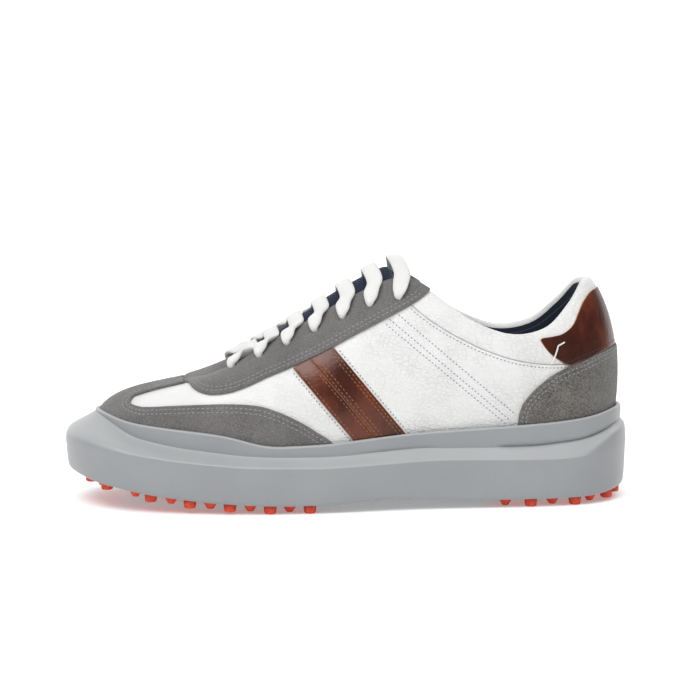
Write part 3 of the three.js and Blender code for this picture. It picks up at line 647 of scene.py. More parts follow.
def layPanel(name, outline, out, grain=2.6, edgeStep=1.6, holes=()):
    # fills the outline, given as places (k, t), with small faces and wraps it on the last
    def stepped(curve, step):
        curve = np.asarray(curve, float)
        points = []
        for i in range(len(curve)):
            a, b = curve[i], curve[(i + 1) % len(curve)]
            count = max(1, int(round(np.linalg.norm((b - a) * flatScale) / step)))
            points += [a + (b - a) * s / count for s in range(count)]
        return np.array(points) * flatScale

    rim = stepped(outline, edgeStep)
    keep = [rim[0]]
    for p in rim[1:]:
        if np.linalg.norm(p - keep[-1]) > edgeStep * 0.4:
            keep.append(p)
    rings = [np.array(keep)] + [np.asarray(hole, float) * flatScale for hole in holes]
    flat, edges = [], []
    for ring in rings:
        first = len(flat)
        flat += [Vector(p) for p in ring]
        edges += [(first + i, first + (i + 1) % len(ring)) for i in range(len(ring))]
    low, top = rings[0].min(axis=0), rings[0].max(axis=0)
    allRims = np.vstack(rings)
    rows = int((top[1] - low[1]) / (grain * 0.87)) + 1
    for j in range(rows):
        y = low[1] + (j + 0.5) * grain * 0.87
        xs = np.arange(low[0] + (j % 2) * grain / 2, top[0], grain)
        for x in xs:
            if insideLoop((x, y), rings[0]) and not any(insideLoop((x, y), hole) for hole in rings[1:]):
                if ((allRims - (x, y)) ** 2).sum(axis=1).min() > (grain * 0.55) ** 2:
                    flat.append(Vector((x, y)))
    points, _, faces, *_ = delaunay_2d_cdt(flat, edges, [], 2, 1e-5)
    places = np.array([tuple(p) for p in points]) / flatScale
    kept = []
    for face in faces:
        middle = tuple(sum((np.array(points[i]) for i in face), np.zeros(2)) / len(face))
        if insideLoop(middle, rings[0]) and not any(insideLoop(middle, hole) for hole in rings[1:]):
            kept.append(face)
    lift = out(places[:, 0], places[:, 1]) if callable(out) else out
    lift = np.broadcast_to(lift, len(places))
    panel = meshObject(name, skin(places[:, 0], np.clip(places[:, 1], 0, 1), lift), kept)
    editAll(panel, ("remove_doubles", {"threshold": 2e-5}), ("delete_loose", {}))
    faceOut(panel)
    return panel


def insideLoop(point, loop):
    x, y = point
    a, b = loop, np.roll(loop, -1, axis=0)
    crossing = (a[:, 1] > y) != (b[:, 1] > y)
    with np.errstate(divide="ignore", invalid="ignore"):
        at = a[:, 0] + (y - a[:, 1]) * (b[:, 0] - a[:, 0]) / (b[:, 1] - a[:, 1])
    return bool((crossing & (x < at)).sum() % 2)


def faceOut(panel):
    # every face looks away from the inside of the shoe
    mesh = panel.data
    votes = 0.0
    for face in mesh.polygons:
        sideways = middleY * mm + bow(face.center.x / mm) * mm
        spine = Vector((min(max(face.center.x, -0.11), 0.10), sideways, 0.045))
        votes += face.normal.dot(face.center - spine) * face.area
    if votes < 0:
        mesh.flip_normals()


def thicken(panel, thickness, bevel=0.35, rimSlot=0, levels=1):
    # body to the panel: the sheet keeps its outer face, its edge is rounded over
    solid = walled(panel, thickness)
    solid.use_quality_normals, solid.material_offset_rim = True, rimSlot
    if bevel:
        edge = panel.modifiers.new("edge", "BEVEL")
        edge.width, edge.segments = bevel * mm, 2
        edge.limit_method, edge.angle_limit = "ANGLE", math.radians(50)
        edge.material = -1
    if levels:
        fine = panel.modifiers.new("fine", "SUBSURF")
        fine.levels = fine.render_levels = levels
        fine.subdivision_type = "SIMPLE"
    applyAll(panel)
    smooth(panel, 50)


edges = {
    "eyestay": [(87, 69), (85.5, 63.5), (77, 60.5), (66, 61.6), (56, 65), (45, 70), (32.8, 75), (17.5, 82),
                (0, 91), (-18, 100), (-37, 110), (-44, 117), (-46, 124)],
    "wing": [(6, 26), (11, 35.5), (20, 42), (29, 47.5), (40, 52.5), (51, 55.5), (66, 56), (81.5, 55.2),
             (96, 54), (108, 52.8), (122, 52)],
    "heelGuard": [(-86, 24), (-88, 43), (-90, 53), (-96, 61), (-104.5, 68), (-114, 73), (-123, 76),
                  (-136, 80.5), (-150, 84)],
    "heelTab": [(-114, 75), (-106, 80.5), (-101.5, 86), (-101, 88.7), (-107, 89.6), (-113, 91), (-118.5, 95),
                (-122, 101), (-125.5, 107), (-130.5, 112), (-137, 113.5), (-150, 114)],
    "collarSeam": [(-26, 124), (-29.5, 110), (-38, 101.5), (-49, 94), (-60, 88), (-72, 82.6), (-88, 77.5),
                   (-107, 75), (-125, 76), (-150, 78)],
}
stripes = {"lean": 34.5 / 41.2, "front": 1.6, "middle": -11.5, "rear": -29}


def stripeLine(atSole, zFrom, zTo, count=24):
    # a stripe's straight edge, as places on the last
    zs = np.linspace(zFrom, zTo, count)
    return np.array([onSide((atSole + (z - 38.3) * stripes["lean"]) * stretch, z) for z in zs])


eyestayCurve = sideCurve(edges["eyestay"])
wingCurve = sideCurve(edges["wing"])
guardCurve = sideCurve(edges["heelGuard"])
tabCurve = sideCurve(edges["heelTab"])
seamCurve = sideCurve(edges["collarSeam"])

# eyelets, seven on each side
eyelets = {"t": 0.87, "firstX": 63, "lastX": -25, "rows": 7, "radius": 2.1}
eyeletStations = []
for row in range(eyelets["rows"]):
    x = (eyelets["firstX"] + (eyelets["lastX"] - eyelets["firstX"]) * row / (eyelets["rows"] - 1)) * stretch
    tries = np.linspace(6, toeStation, 1400)
    eyeletStations.append(float(np.interp(x, lastPoint(tries, eyelets["t"])[:, 0], tries)))


def ringOnLast(k, t, radius, count=20, tall=1.0):
    # a round hole or ring about a place on the last
    here = lastPoint(k, t)[0]
    dk = (lastPoint(k + 0.02, t)[0] - here) / 0.02
    dt = (here - lastPoint(k, t - 0.02)[0]) / 0.02
    up = dt / np.linalg.norm(dt)
    side = np.cross(up, lastNormal(k, t)[0])
    places = []
    for a in np.linspace(0, 2 * math.pi, count, endpoint=False):
        way = math.cos(a) * radius * side + math.sin(a) * radius * tall * up
        step = np.linalg.lstsq(np.array([dk, dt]).T, way, rcond=None)[0]
        places.append((k + step[0], t + step[1]))
    return np.array(places)


def bothSides(k):
    return (k, loopStations - k)


print("outlines placed")

# camera, floor and light
view = {"azimuth": 175.0, "elevation": 6.6, "distance": 1.277, "lens": 122.0, "aim": (-0.001, 0.004, 0.0805)}


def addCamera():
    bpy.ops.object.camera_add()
    camera = bpy.context.active_object
    a, e = math.radians(view["azimuth"]), math.radians(view["elevation"])
    back = Vector((math.sin(a) * math.cos(e), -math.cos(a) * math.cos(e), math.sin(e)))
    camera.location = Vector(view["aim"]) + back * view["distance"]
    camera.rotation_euler = back.to_track_quat("Z", "Y").to_euler()
    camera.data.lens, camera.data.sensor_width = view["lens"], 36
    camera.data.clip_start, camera.data.clip_end = 0.05, 20
    camera.data.dof.use_dof = False
    bpy.context.scene.camera = camera


addCamera()
studio = {"world": 0.22, "sun": 2.05, "key": 4.4, "rim": 1.8, "glow": 0.46}


def addStage():
    # a pale floor that sweeps up behind the shoe
    clearSelection()
    bpy.ops.mesh.primitive_grid_add(x_subdivisions=2, y_subdivisions=60, size=2)
    sweep = bpy.context.active_object
    sweep.name = "floor"
    for vertex in sweep.data.vertices:
        v = (vertex.co.y + 1) / 2  # 0 at the far side
        bend = max(0.0, 0.55 - v) / 0.55
        angle = min(bend * 1.6, 1.0) * math.pi / 2
        rise = max(0.0, bend - 0.625) * 16
        far = -2.0 - 3.0 * math.sin(angle)
        vertex.co = (vertex.co.x * 9, 4 - (v * -1 + 1) * 13.33 if v > 0.55 else far, 0 if v > 0.55 else
                     3.0 * (1 - math.cos(angle)) + rise)
    smooth(sweep, 60)
    sweep.data.materials.append(finish("floorPaper", {
        "Roughness": 0.9, "Specular IOR Level": 0.1, "Emission Strength": studio["glow"]}, lambda w: {
            "Base Color": w.place().noise(3.0, 2.0).mix((0.90, 0.90, 0.90), (0.94, 0.94, 0.94)),
            "Emission Color": w.place().axis("Y").span(-0.3, -2.0).mix((0.5, 0.5, 0.5), (1, 1, 1))}))


addStage()
world = bpy.data.worlds.new("studio")
world.use_nodes = True
world.node_tree.nodes["Background"].inputs[0].default_value = (1, 1, 1, 1)
world.node_tree.nodes["Background"].inputs[1].default_value = studio["world"]
bpy.context.scene.world = world
bpy.context.scene.view_settings.view_transform = "Standard"


def softBox(name, place, target, size, power):
    bpy.ops.object.light_add(type="AREA", location=place)
    lamp = bpy.context.active_object
    lamp.name = name
    lamp.data.shape, lamp.data.size, lamp.data.size_y = "RECTANGLE", size[0], size[1]
    lamp.data.energy = power
    lamp.rotation_euler = (Vector(place) - Vector(target)).to_track_quat("Z", "Y").to_euler()


def softSun(direction, strength, spread):
    bpy.ops.object.light_add(type="SUN")
    sun = bpy.context.active_object
    sun.name = "ceilingLight"
    sun.data.energy, sun.data.angle = strength, math.radians(spread)
    sun.rotation_euler = Vector(direction).to_track_quat("Z", "Y").to_euler()


softSun((0.15, 0.55, 1.0), studio["sun"], 60)
softBox("keySoftBox", (0.45, 0.75, 0.95), (0, 0, 0.05), (0.8, 0.5), studio["key"])
softBox("rimSoftBox", (-0.7, -0.4, 1.0), (0, 0, 0.08), (0.8, 0.5), studio["rim"])
print("camera, floor and lights set")


# stitching: rows of short capsules pressed on a piece
def reach3d(points):
    steps = np.linalg.norm(np.diff(points, axis=0), axis=1)
    return np.concatenate([[0], np.cumsum(steps)])


def insetCurve(curve, inset, sign=1):
    # the curve moved sideways on the last by a distance in millimetres
    curve = np.asarray(curve, float)
    here = lastPoint(curve[:, 0], curve[:, 1])
    dk = (lastPoint(curve[:, 0] + 0.02, curve[:, 1]) - here) / 0.02
    lower = np.maximum(curve[:, 1] - 0.02, 0)
    dt = (here - lastPoint(curve[:, 0], lower)) / (curve[:, 1] - lower)[:, None]
    along = np.gradient(here, axis=0)
    away = np.cross(lastNormal(curve[:, 0], curve[:, 1]), along)
    away *= sign * inset / np.linalg.norm(away, axis=1)[:, None]
    moved = []
    for place, u, v, way in zip(curve, dk, dt, away):
        step = np.linalg.lstsq(np.array([u, v]).T, way, rcond=None)[0]
        moved.append((place[0] + step[0], place[1] + step[1]))
    return np.array(moved)


def evenPlaces(points, normals, pitch):
    # points and directions an even pitch apart along a line in space
    length = reach3d(points)
    count = int(length[-1] / pitch)
    at = (np.arange(count) + 0.5) * pitch
    spots = np.stack([np.interp(at, length, points[:, c]) for c in range(3)], axis=1)
    ahead = np.stack([np.interp(at + pitch * 0.2, length, points[:, c]) for c in range(3)], axis=1)
    ups = np.stack([np.interp(at, length, normals[:, c]) for c in range(3)], axis=1)
    way = ahead - spots
    way /= np.linalg.norm(way, axis=1)[:, None]
    return spots, way, ups


stitchShape = [(-0.5, 0.0), (-0.42, 0.72), (-0.15, 1.0), (0.15, 1.0), (0.42, 0.72), (0.5, 0.0)]


def sewRow(rows, name, material, body, slot, length=1.9, thick=0.55, pitch=2.6, sink=0.12):
    # every stitch is a little capsule lying along its row
    points, faces = [], []
    sides = 6
    for curvePoints, curveNormals in rows:
        spots, way, ups = evenPlaces(curvePoints, curveNormals, pitch * mm)
        for spot, forward, up in zip(spots, way, ups):
            up = up / np.linalg.norm(up)
            side = np.cross(forward, up)
            up = np.cross(side, forward)
            tilt = random.uniform(-0.05, 0.05)
            forward = forward + side * tilt
            first = len(points)
            size = length * random.uniform(0.93, 1.05)
            for place, width in stitchShape:
                if width == 0:
                    points.append(spot + forward * place * size * mm - up * (thick * 0.35) * mm)
                    continue
                sag = (1 - (place / 0.5) ** 2) * thick * 0.25 - sink
                for s in range(sides):
                    a = 2 * math.pi * s / sides
                    points.append(spot + forward * place * size * mm
                                  + side * math.cos(a) * width * thick / 2 * mm
                                  + up * (math.sin(a) * width * thick / 2 + sag) * mm)
            middle = [first + 1 + sides * r for r in range(4)]
            faces += [(first, middle[0] + (s + 1) % sides, middle[0] + s) for s in range(sides)]
            for a, b in zip(middle, middle[1:]):
                faces += [(a + s, a + (s + 1) % sides, b + (s + 1) % sides, b + s) for s in range(sides)]
            end = first + 1 + sides * 4
            faces += [(end, middle[3] + s, middle[3] + (s + 1) % sides) for s in range(sides)]
    thread = meshObject(name, points, faces)
    turnOut(thread)
    smooth(thread, 80)
    dress(thread, material)
    return piece(thread, body, slot)


def onLast(curve, out):
    curve = np.asarray(curve, float)
    curve = curve[(curve[:, 1] > 0.0) & (curve[:, 1] <= 1.0)]
    return skin(curve[:, 0], curve[:, 1], np.full(len(curve), out)), lastNormal(curve[:, 0], curve[:, 1])


# white leather: vamp, quarters, padded collar
upper = {"leather": 1.4, "roll": 2.9, "footT": 0.03}
footT = upper["footT"]


def throatHoles(low, top, radius):
    kept = []
    for row in eyeletStations:
        for k in bothSides(row):
            if low < k < top:
                kept.append(ringOnLast(k, eyelets["t"], radius))
    return kept


def joined(*curves):
    # curves end to end, without doubled places
    rows = []
    for curve in curves:
        for place in np.asarray(curve, float).reshape(-1, 2):
            if not rows or np.linalg.norm((place - rows[-1]) * flatScale) > 0.35:
                rows.append(place)
    return np.array(rows)


def below(curve, top=0.999):
    return curve[curve[:, 1] < top]


middleSeam = below(stripeLine(stripes["middle"], 16, 118, 30))
middleSeam = middleSeam[middleSeam[:, 1] > footT]
vampEdge = joined((middleSeam[0][0] - 0.02, footT), middleSeam, (middleSeam[-1][0] + 0.08, 1.0))
vampHalf = joined(vampEdge, line((vampEdge[-1][0] + 0.2, 1), (toeStation, 1), 30))
vampFlat = joined(vampHalf, mirrored(vampHalf)[1:],
    line((loopStations - vampEdge[0][0], footT), (vampEdge[0][0], footT), 60)[1:-1])
vamp = layPanel("vampLeather", vampFlat, 0, 2.6, 1.6,
                throatHoles(vampEdge[-1][0] - 1.2, 19.5, eyelets["radius"]))
thicken(vamp, upper["leather"], 0.3)
dress(vamp, "whiteLeather")
piece(vamp, "shoe", "white_leather", "vamp")

quarterEdge = below(joined((middleSeam[0][0] - 0.06, footT), middleSeam - (0.035, 0)))
seamTop = seamCurve[(seamCurve[:, 0] > 0.03) & (seamCurve[:, 1] < 0.985)]
quarterFlat = joined((0.006, footT), line((0.1, footT), (quarterEdge[0][0] - 0.1, footT), 40), quarterEdge,
                     (quarterEdge[-1][0] + 0.03, 0.992), (seamTop[0][0] + 0.06, 0.992), seamTop,
                     (0.006, seamTop[-1][1]))
for side in ("lateral", "medial"):
    flat = quarterFlat if side == "lateral" else mirrored(quarterFlat) - (loopStations, 0)
    quarter = layPanel(side + "Quarter", flat, 0, 2.6, 1.6)
    thicken(quarter, upper["leather"], 0.3)
    dress(quarter, "whiteLeather")
    piece(quarter, "shoe", "white_leather", "quarter_" + side)


def collarCover():
    # the padded top line: up from its seam, over a roll and down inside
    columns = 150
    ks = np.linspace(-6.9, 6.9, columns + 1)
    order = np.argsort(seamCurve[:, 0])
    seamT = np.interp(np.abs(ks), seamCurve[order, 0], seamCurve[order, 1])
    seamT = np.minimum(seamT + 0.004, 0.95)
    thin = smoothStep(np.abs(ks), 5.7, 6.7)
    roll = upper["roll"] * (1 - thin) + 1.0 * thin
    turn = 1 - roll / 62.0
    seamT = np.minimum(seamT, turn - 0.03)
    rings = []
    for share in np.linspace(0, 1, 9):
        t = seamT + (turn - seamT) * share
        puff = 0.9 * math.sin(math.pi * min(share * 1.05, 1)) ** 0.8 * (1 - thin)
        rings.append(skin(ks, t, 0.15 + puff))
    rings.insert(0, skin(ks, seamT - 0.002, -1.2))
    up = lastPoint(ks, turn) - lastPoint(ks, turn - 0.02)
    up /= np.linalg.norm(up, axis=1)[:, None]
    n = lastNormal(ks, turn)
    centre = lastPoint(ks, turn) - n * roll[:, None] + (0, middleY, 0)
    for a in np.linspace(0, math.pi, 11)[1:]:
        rings.append((centre + n * (roll * math.cos(a))[:, None] + up * (roll * math.sin(a))[:, None]) * mm)
    for share in (0.35, 0.7, 1.0):
        t = turn - share * 0.085 * (1 - 0.6 * thin)
        rings.append(skin(ks, t, -2 * roll - 0.3 * share * (1 - thin)))
    rings.append(skin(ks, turn - 0.088 * (1 - 0.6 * thin), -2 * roll + 0.9))
    cover = gridMesh("collarCover", rings)
    dress(cover, "whiteLeather", "navyKnit")
    for number, face in enumerate(cover.data.polygons):
        face.material_index = 1 if number // columns > 17 else 0
    subdivided(cover)
    editAll(cover, ("normals_make_consistent", {"inside": False}))
    faceOut(cover)
    smooth(cover, 70)
    return piece(cover, "shoe", "white_leather", "collar_cover")


collarCover()


# overlays: eyestay, toe guard, stripes, heel guard, heel tab
def centrePlace(x):
    ts = np.linspace(0.3, 1, 400)
    return (float(toeStation), float(np.interp(-x * stretch, -lastPoint(toeStation, ts)[:, 0], ts)))


def laid(name, flat, out, thickness, finishNames, slot, node, grain=2.4, bevel=0.45, holes=()):
    panel = layPanel(name, flat, out, grain, 1.3, holes)
    before = BVHTree.FromObject(panel, bpy.context.evaluated_depsgraph_get())
    thicken(panel, thickness, bevel, 0)
    dress(panel, *finishNames)
    if len(finishNames) > 1:
        for face in panel.data.polygons:
            facing = before.find_nearest(face.center)[1]
            if abs(face.normal.dot(facing)) < 0.93:
                face.material_index = 1
    return piece(panel, "shoe", slot, node)


stayRear = below(eyestayCurve[eyestayCurve[:, 0] < 12.9], 0.985)
stayHalf = joined(centrePlace(87), stayRear, (stayRear[-1][0] - 0.03, 1.0))
topEdge = line((stayRear[-1][0] + 0.2, 1.0), (toeStation, 1.0), 50)
stayFlat = joined(stayHalf, topEdge, mirrored(joined(stayHalf, topEdge))[1:-1])
laid("eyestaySuede", stayFlat, 1.65, 1.55, ["suede"], "grey_suede", "eyestay", 2.3, 0.5,
               throatHoles(0, loopStations, eyelets["radius"]))

stemHalf = 13.0
stemSide = []
guess = (12.3, 0.72)
for x in np.linspace(88.5, 118, 16):
    guess = onTop(x * stretch, float(bow(x * stretch)) + stemHalf, *guess)
    stemSide.append(guess)
stemSide = np.array(stemSide)
wingFront = wingCurve[(wingCurve[:, 0] < stemSide[-1][0] - 0.55)]
notchMiddle = (stemSide[-1] + wingFront[-1]) / 2 + (0.05, -0.012)
notch = spline(np.vstack([wingFront[-3:-1], notchMiddle, stemSide[::-1][1:3]]), 6)
guardHalf = joined((wingFront[0][0] - 0.1, footT), wingFront[:-3], notch, stemSide[::-1][3:],
                   centrePlace(87.6))
guardFlat = joined(guardHalf, mirrored(guardHalf)[1:], line((loopStations - guardHalf[0][0], footT),
                                                          (guardHalf[0][0], footT), 90)[1:-1])
laid("toeGuardSuede", guardFlat, 1.6, 1.5, ["suede"], "grey_suede", "toe_guard", 2.4, 0.5)


def stripePanel(name, front, rear, flip, node):
    # from the sole up to just under the eyestay
    def upTo(edge):
        kept = []
        for place in edge:
            limit = np.interp(place[0], eyestayCurve[::-1][:, 0], eyestayCurve[::-1][:, 1])
            if place[1] < limit - 0.006:
                kept.append(place)
        return np.array(kept)
    frontEdge, rearEdge = upTo(stripeLine(front, 20, 100, 70)), upTo(stripeLine(rear, 20, 100, 70))
    top = []
    for k in np.linspace(rearEdge[-1][0], frontEdge[-1][0], 9)[1:-1]:
        top.append((k, np.interp(k, eyestayCurve[::-1][:, 0], eyestayCurve[::-1][:, 1]) - 0.008))
    flat = joined(frontEdge, np.array(top)[::-1], rearEdge[::-1])
    if flip:
        flat = mirrored(flat)
    return laid(name, flat, 1.15, 1.1, ["brownLeather", "rawEdge"], "brown_leather", node, 2.2, 0.42)


for flip, side in ((False, "lateral"), (True, "medial")):
    middle, halfGap = stripes["middle"], 0.15
    stripePanel("frontStripe." + side, stripes["front"], middle + halfGap, flip, "stripe_front_" + side)
    stripePanel("rearStripe." + side, middle - halfGap, stripes["rear"], flip, "stripe_rear_" + side)

guardRear = guardCurve[(guardCurve[:, 0] > 0.05) & (guardCurve[:, 1] > footT)]
heelHalf = joined((guardRear[0][0] + 0.02, footT), guardRear, (0.0, guardRear[-1][1]))
heelFlat = joined(heelHalf, (mirrored(heelHalf) - (loopStations, 0))[1:],
                  line((-heelHalf[0][0], footT), (heelHalf[0][0], footT), 60)[1:-1])
laid("heelGuardSuede", heelFlat, 1.7, 1.6, ["heelSuede"], "grey_suede", "heel_guard", 2.4, 0.5)

tabBack = 6.4
tabRows = tabCurve[tabCurve[:, 0] > 0.02]
backK = float(np.interp(tabBack, lastPoint(np.linspace(0, 1.2, 200), 0.75)[:, 1], np.linspace(0, 1.2, 200)))
tabFrontRows = tabRows[tabRows[:, 0] > backK]
guardTop = guardRear[::-1]
under = [(k, np.interp(k, guardTop[:, 0], guardTop[:, 1]) + 0.006)
         for k in np.linspace(backK, tabFrontRows[0][0], 14)]
tabFlat = joined(np.array(under)[:-1], tabFrontRows, (backK, tabFrontRows[-1][1] + 0.004))
for side in ("lateral", "medial"):
    flat = tabFlat if side == "lateral" else mirrored(tabFlat) - (loopStations, 0)
    laid("heelTab." + side, flat, 1.35, 1.3, ["brownLeather", "rawEdge"], "brown_leather",
         "heel_tab_" + side, 2.0, 0.42)
print("overlays laid")


# lining
def liningPanel(name, kFrom, kTo, node, columns):
    ks = np.linspace(kFrom, kTo, columns + 1)
    heel = np.minimum(ks % loopStations, loopStations - ks % loopStations)
    thin = smoothStep(heel, 5.5, 6.9)
    topT = 0.905 * (1 - thin) + 0.99 * thin
    rings = []
    for share in np.linspace(0, 1, 22):
        t = 0.04 + (topT - 0.04) * share
        bulge = (1 - thin) * smoothStep(t, 0.62, 0.78)
        inner = 3.25 - 1.15 * thin * smoothStep(t, 0.8, 0.97)
        rings.append(skin(ks, t, -inner - 2.6 * bulge))
    lining = gridMesh(name, rings)
    faceOut(lining)
    walled(lining, 0.9)
    applyAll(lining)
    smooth(lining, 60)
    dress(lining, "navyKnit")
    return piece(lining, "shoe", "navy_lining", node)


liningPanel("quarterLining.lateral", 0.004, 8.6, "quarter_lining_lateral", 90)
liningPanel("quarterLining.medial", loopStations - 8.6, loopStations - 0.004, "quarter_lining_medial", 90)
liningPanel("vampLining", 8.61, loopStations - 8.61, "vamp_lining", 90)
print("lining made")


# sole
sole = {"length": 304, "sideReach": 11, "flare": 0.5, "rim": 2.6, "clearance": 1.75, "around": 208,
        "groove": 1.5}
aroundSole = np.arange(sole["around"]) * loopStations / sole["around"]
shelfAt = heights([(-152, 43.5), (-146, 42), (-142, 39.5), (-126, 34.8), (-99, 32.2), (-79, 32), (-34, 32.4),
                   (-2, 30), (15, 29.2), (46, 29.6), (60, 30.2), (95, 34), (120, 38.6), (134, 44),
                   (142, 47.6), (152, 48.5)])
toeReach = sole["length"] / 2 - footPoint(np.array([toeStation]))[0, 0]
heelReach = sole["length"] / 2 + footPoint(np.array([0.0]))[0, 0]


def footX(k):
    return footPoint(np.atleast_1d(k))[:, 0] / stretch


def reach(k):
    x = footX(k)
    side = sole["sideReach"]
    return (side + smoothStep(x, 85, 137) * (toeReach - side) + smoothStep(-x, 105, 143) * (heelReach - side)
            + sole["flare"] * (1 - smoothStep(np.abs(x), 120, 143)))


def rimT(k):
    ts = np.linspace(0, 0.7, 141)
    found = []
    for each in np.atleast_1d(k):
        p = lastPoint(each, ts)
        found.append(float(np.interp(0, p[:, 2] - rimAt(p[:, 0]), ts)))
    return np.array(found)


rimPlaces = rimT(aroundSole)


def rimRing(out, drop):
    # a ring about the rim's wall, out from it and below the rim's top
    base = lastPoint(aroundSole, rimPlaces) + lastNormal(aroundSole, rimPlaces) * sole["clearance"]
    away = lastNormal(aroundSole, rimPlaces) * (1, 1, 0)
    away /= np.linalg.norm(away, axis=1)[:, None]
    p = base + away * np.reshape(out, (-1, 1))
    p[:, 2] = rimAt(p[:, 0]) - drop
    p[:, 1] += middleY
    return p * mm


def soleRing(inset, height):
    return besideFoot(aroundSole, reach(aroundSole) - inset, height)


def between(a, b, share):
    return a + (b - a) * np.reshape(share, (-1, 1))


xRound = footX(aroundSole)
tip = np.maximum(smoothStep(xRound, 108, 138), smoothStep(-xRound, 118, 143))
tipHeight = np.where(xRound > 0, 40.6, 41.2)
crease = soleRing(0, creaseAt)


def lifted(ring, height):
    moved = ring.copy()
    moved[:, 2] = height * mm
    return moved


creaseZ = crease[:, 2] / mm
shelfFootZ = creaseZ + 0.8 + tip * (tipHeight - creaseZ - 0.8) * 0.85
shelfFoot = lifted(soleRing(0.55, creaseAt), shelfFootZ)
wallFoot = rimRing(sole["rim"] + 0.1, 0)
shelfZ = np.minimum(shelfAt(wallFoot[:, 0] / mm), wallFoot[:, 2] / mm - 3.0)
bumper = smoothStep(wallFoot[:, 0] / mm, 112, 140)
shelfZ = shelfZ + bumper * (wallFoot[:, 2] / mm - 1.7 - shelfZ)
shelfTop = lifted(wallFoot, shelfZ)
behind = -wallFoot[:, 0] / mm
grooveDeep = sole["groove"] * smoothStep(behind, 76.5, 80) * (1 - 0.75 * smoothStep(behind, 132, 147))
shallow = 0.5 * smoothStep(behind, 0, 12) * (1 - smoothStep(behind, 34, 48))
grooveDeep = np.maximum(grooveDeep, shallow)
inward = wallFoot - rimRing(sole["rim"] - 0.9, 0)
inward[:, 2] = 0
inward /= np.linalg.norm(inward, axis=1)[:, None]


def pushedIn(ring, depth, rise):
    moved = ring - inward * np.reshape(depth, (-1, 1)) * mm
    moved[:, 2] += np.asarray(rise) * mm
    return moved


rimLow = rimRing(sole["rim"] + 0.05, 1.15)
lipRise = 1.15 - bumper * 0.75
cupRings = [
    soleRing(7.5, lambda x: bottomAt(x) + 2.6),
    soleRing(5.0, lambda x: bottomAt(x) + 2.4),
    soleRing(4.4, lambda x: bottomAt(x) + 0.7),
    soleRing(3.4, lambda x: bottomAt(x) + 0.5),
    soleRing(2.5, lambda x: bottomAt(x) + 0.5),
    soleRing(1.8, lambda x: bottomAt(x) + 0.95),
    soleRing(1.35, lambda x: bottomAt(x) + 2.0),
    soleRing(1.0, lambda x: bottomAt(x) + 4.5),
    between(soleRing(0.9, lambda x: bottomAt(x) + 4.5), soleRing(0.25, lambda x: creaseAt(x) - 1.2), 0.5),
    soleRing(0.25, lambda x: creaseAt(x) - 1.2),
    soleRing(0.05, lambda x: creaseAt(x) - 0.35),
    soleRing(0.08, lambda x: creaseAt(x) + 0.15),
    shelfFoot,
    between(shelfFoot, shelfTop, 0.35) + (0, 0, -0.25 * mm),
    between(shelfFoot, shelfTop, 0.75) + (0, 0, -0.45 * mm),
    pushedIn(shelfTop, 0.1, -0.25),
    pushedIn(shelfTop, 0.25 + grooveDeep, 0.05 + 0.1 * grooveDeep),
    pushedIn(shelfTop, 0.25 + grooveDeep, 0.45 * lipRise + 0.1 * grooveDeep),
    pushedIn(shelfTop, 0.12, lipRise),
    between(pushedIn(shelfTop, 0.0, lipRise), rimLow, 0.33),
    between(pushedIn(shelfTop, -0.15, lipRise), rimLow, 0.66),
    rimLow,
    rimRing(sole["rim"] - 0.15, 0.6),
    rimRing(sole["rim"] * 0.68, 0.08),
    rimRing(sole["rim"] * 0.36, 0.0),
    rimRing(0.15, 0.35),
    rimRing(0.0, 1.2),
]
for share in (0.6, 0.25):
    wallPlaces = rimPlaces * share
    wall = lastPoint(aroundSole, wallPlaces) + lastNormal(aroundSole, wallPlaces) * sole["clearance"]
    cupRings.append((wall + (0, middleY, 0)) * mm)
cupRings.append(besideFoot(aroundSole, sole["clearance"] - 0.4, bedAt))
cup = ringByRing("cupSole", cupRings)
subdivided(cup)
smooth(cup, 60)
dress(cup, "soleFoam")
piece(cup, "shoe", "midsole_foam", "midsole_cup")

plate = {"inset": 5.4, "thick": 2.2}
plateBody = ringByRing("treadPlate", [
    soleRing(plate["inset"] + 3.0, lambda x: bottomAt(x) + 0.1),
    soleRing(plate["inset"] + 1.0, lambda x: bottomAt(x) - 0.05),
    soleRing(plate["inset"] + 0.3, lambda x: bottomAt(x) + 0.3),
    soleRing(plate["inset"], lambda x: bottomAt(x) + 0.9),
    soleRing(plate["inset"], lambda x: bottomAt(x) + plate["thick"]),
])
smooth(plateBody, 50)
dress(plateBody, "plateRubber")
piece(plateBody, "shoe", "outsole_rubber", "outsole_plate")

# red traction nubs, posts and faceted cones by turns
nubs = {"height": 4.0, "post": 3.55, "cone": 4.1}


def nubShape(kind):
    clearSelection()
    if kind == "post":
        bpy.ops.mesh.primitive_cone_add(vertices=20, radius1=nubs["post"] * 0.84 * mm,
                                        radius2=nubs["post"] * mm, depth=(nubs["height"] + 0.4) * mm)
    else:
        bpy.ops.mesh.primitive_cone_add(vertices=6, radius1=nubs["cone"] * 0.42 * mm,
                                        radius2=nubs["cone"] * mm, depth=(nubs["height"] - 0.3) * mm)
    shape = bpy.context.active_object
    wide, segments = (0.9, 4) if kind == "post" else (0.25, 2)
    editAll(shape, ("bevel", {"offset": wide * mm, "segments": segments, "affect": "EDGES"}))
    mesh = shape.data
    points = np.array([v.co[:] for v in mesh.vertices])
    faces = [tuple(f.vertices) for f in mesh.polygons]
    bpy.data.objects.remove(shape)
    return points, faces


nubShapes = {kind: nubShape(kind) for kind in ("post", "cone")}


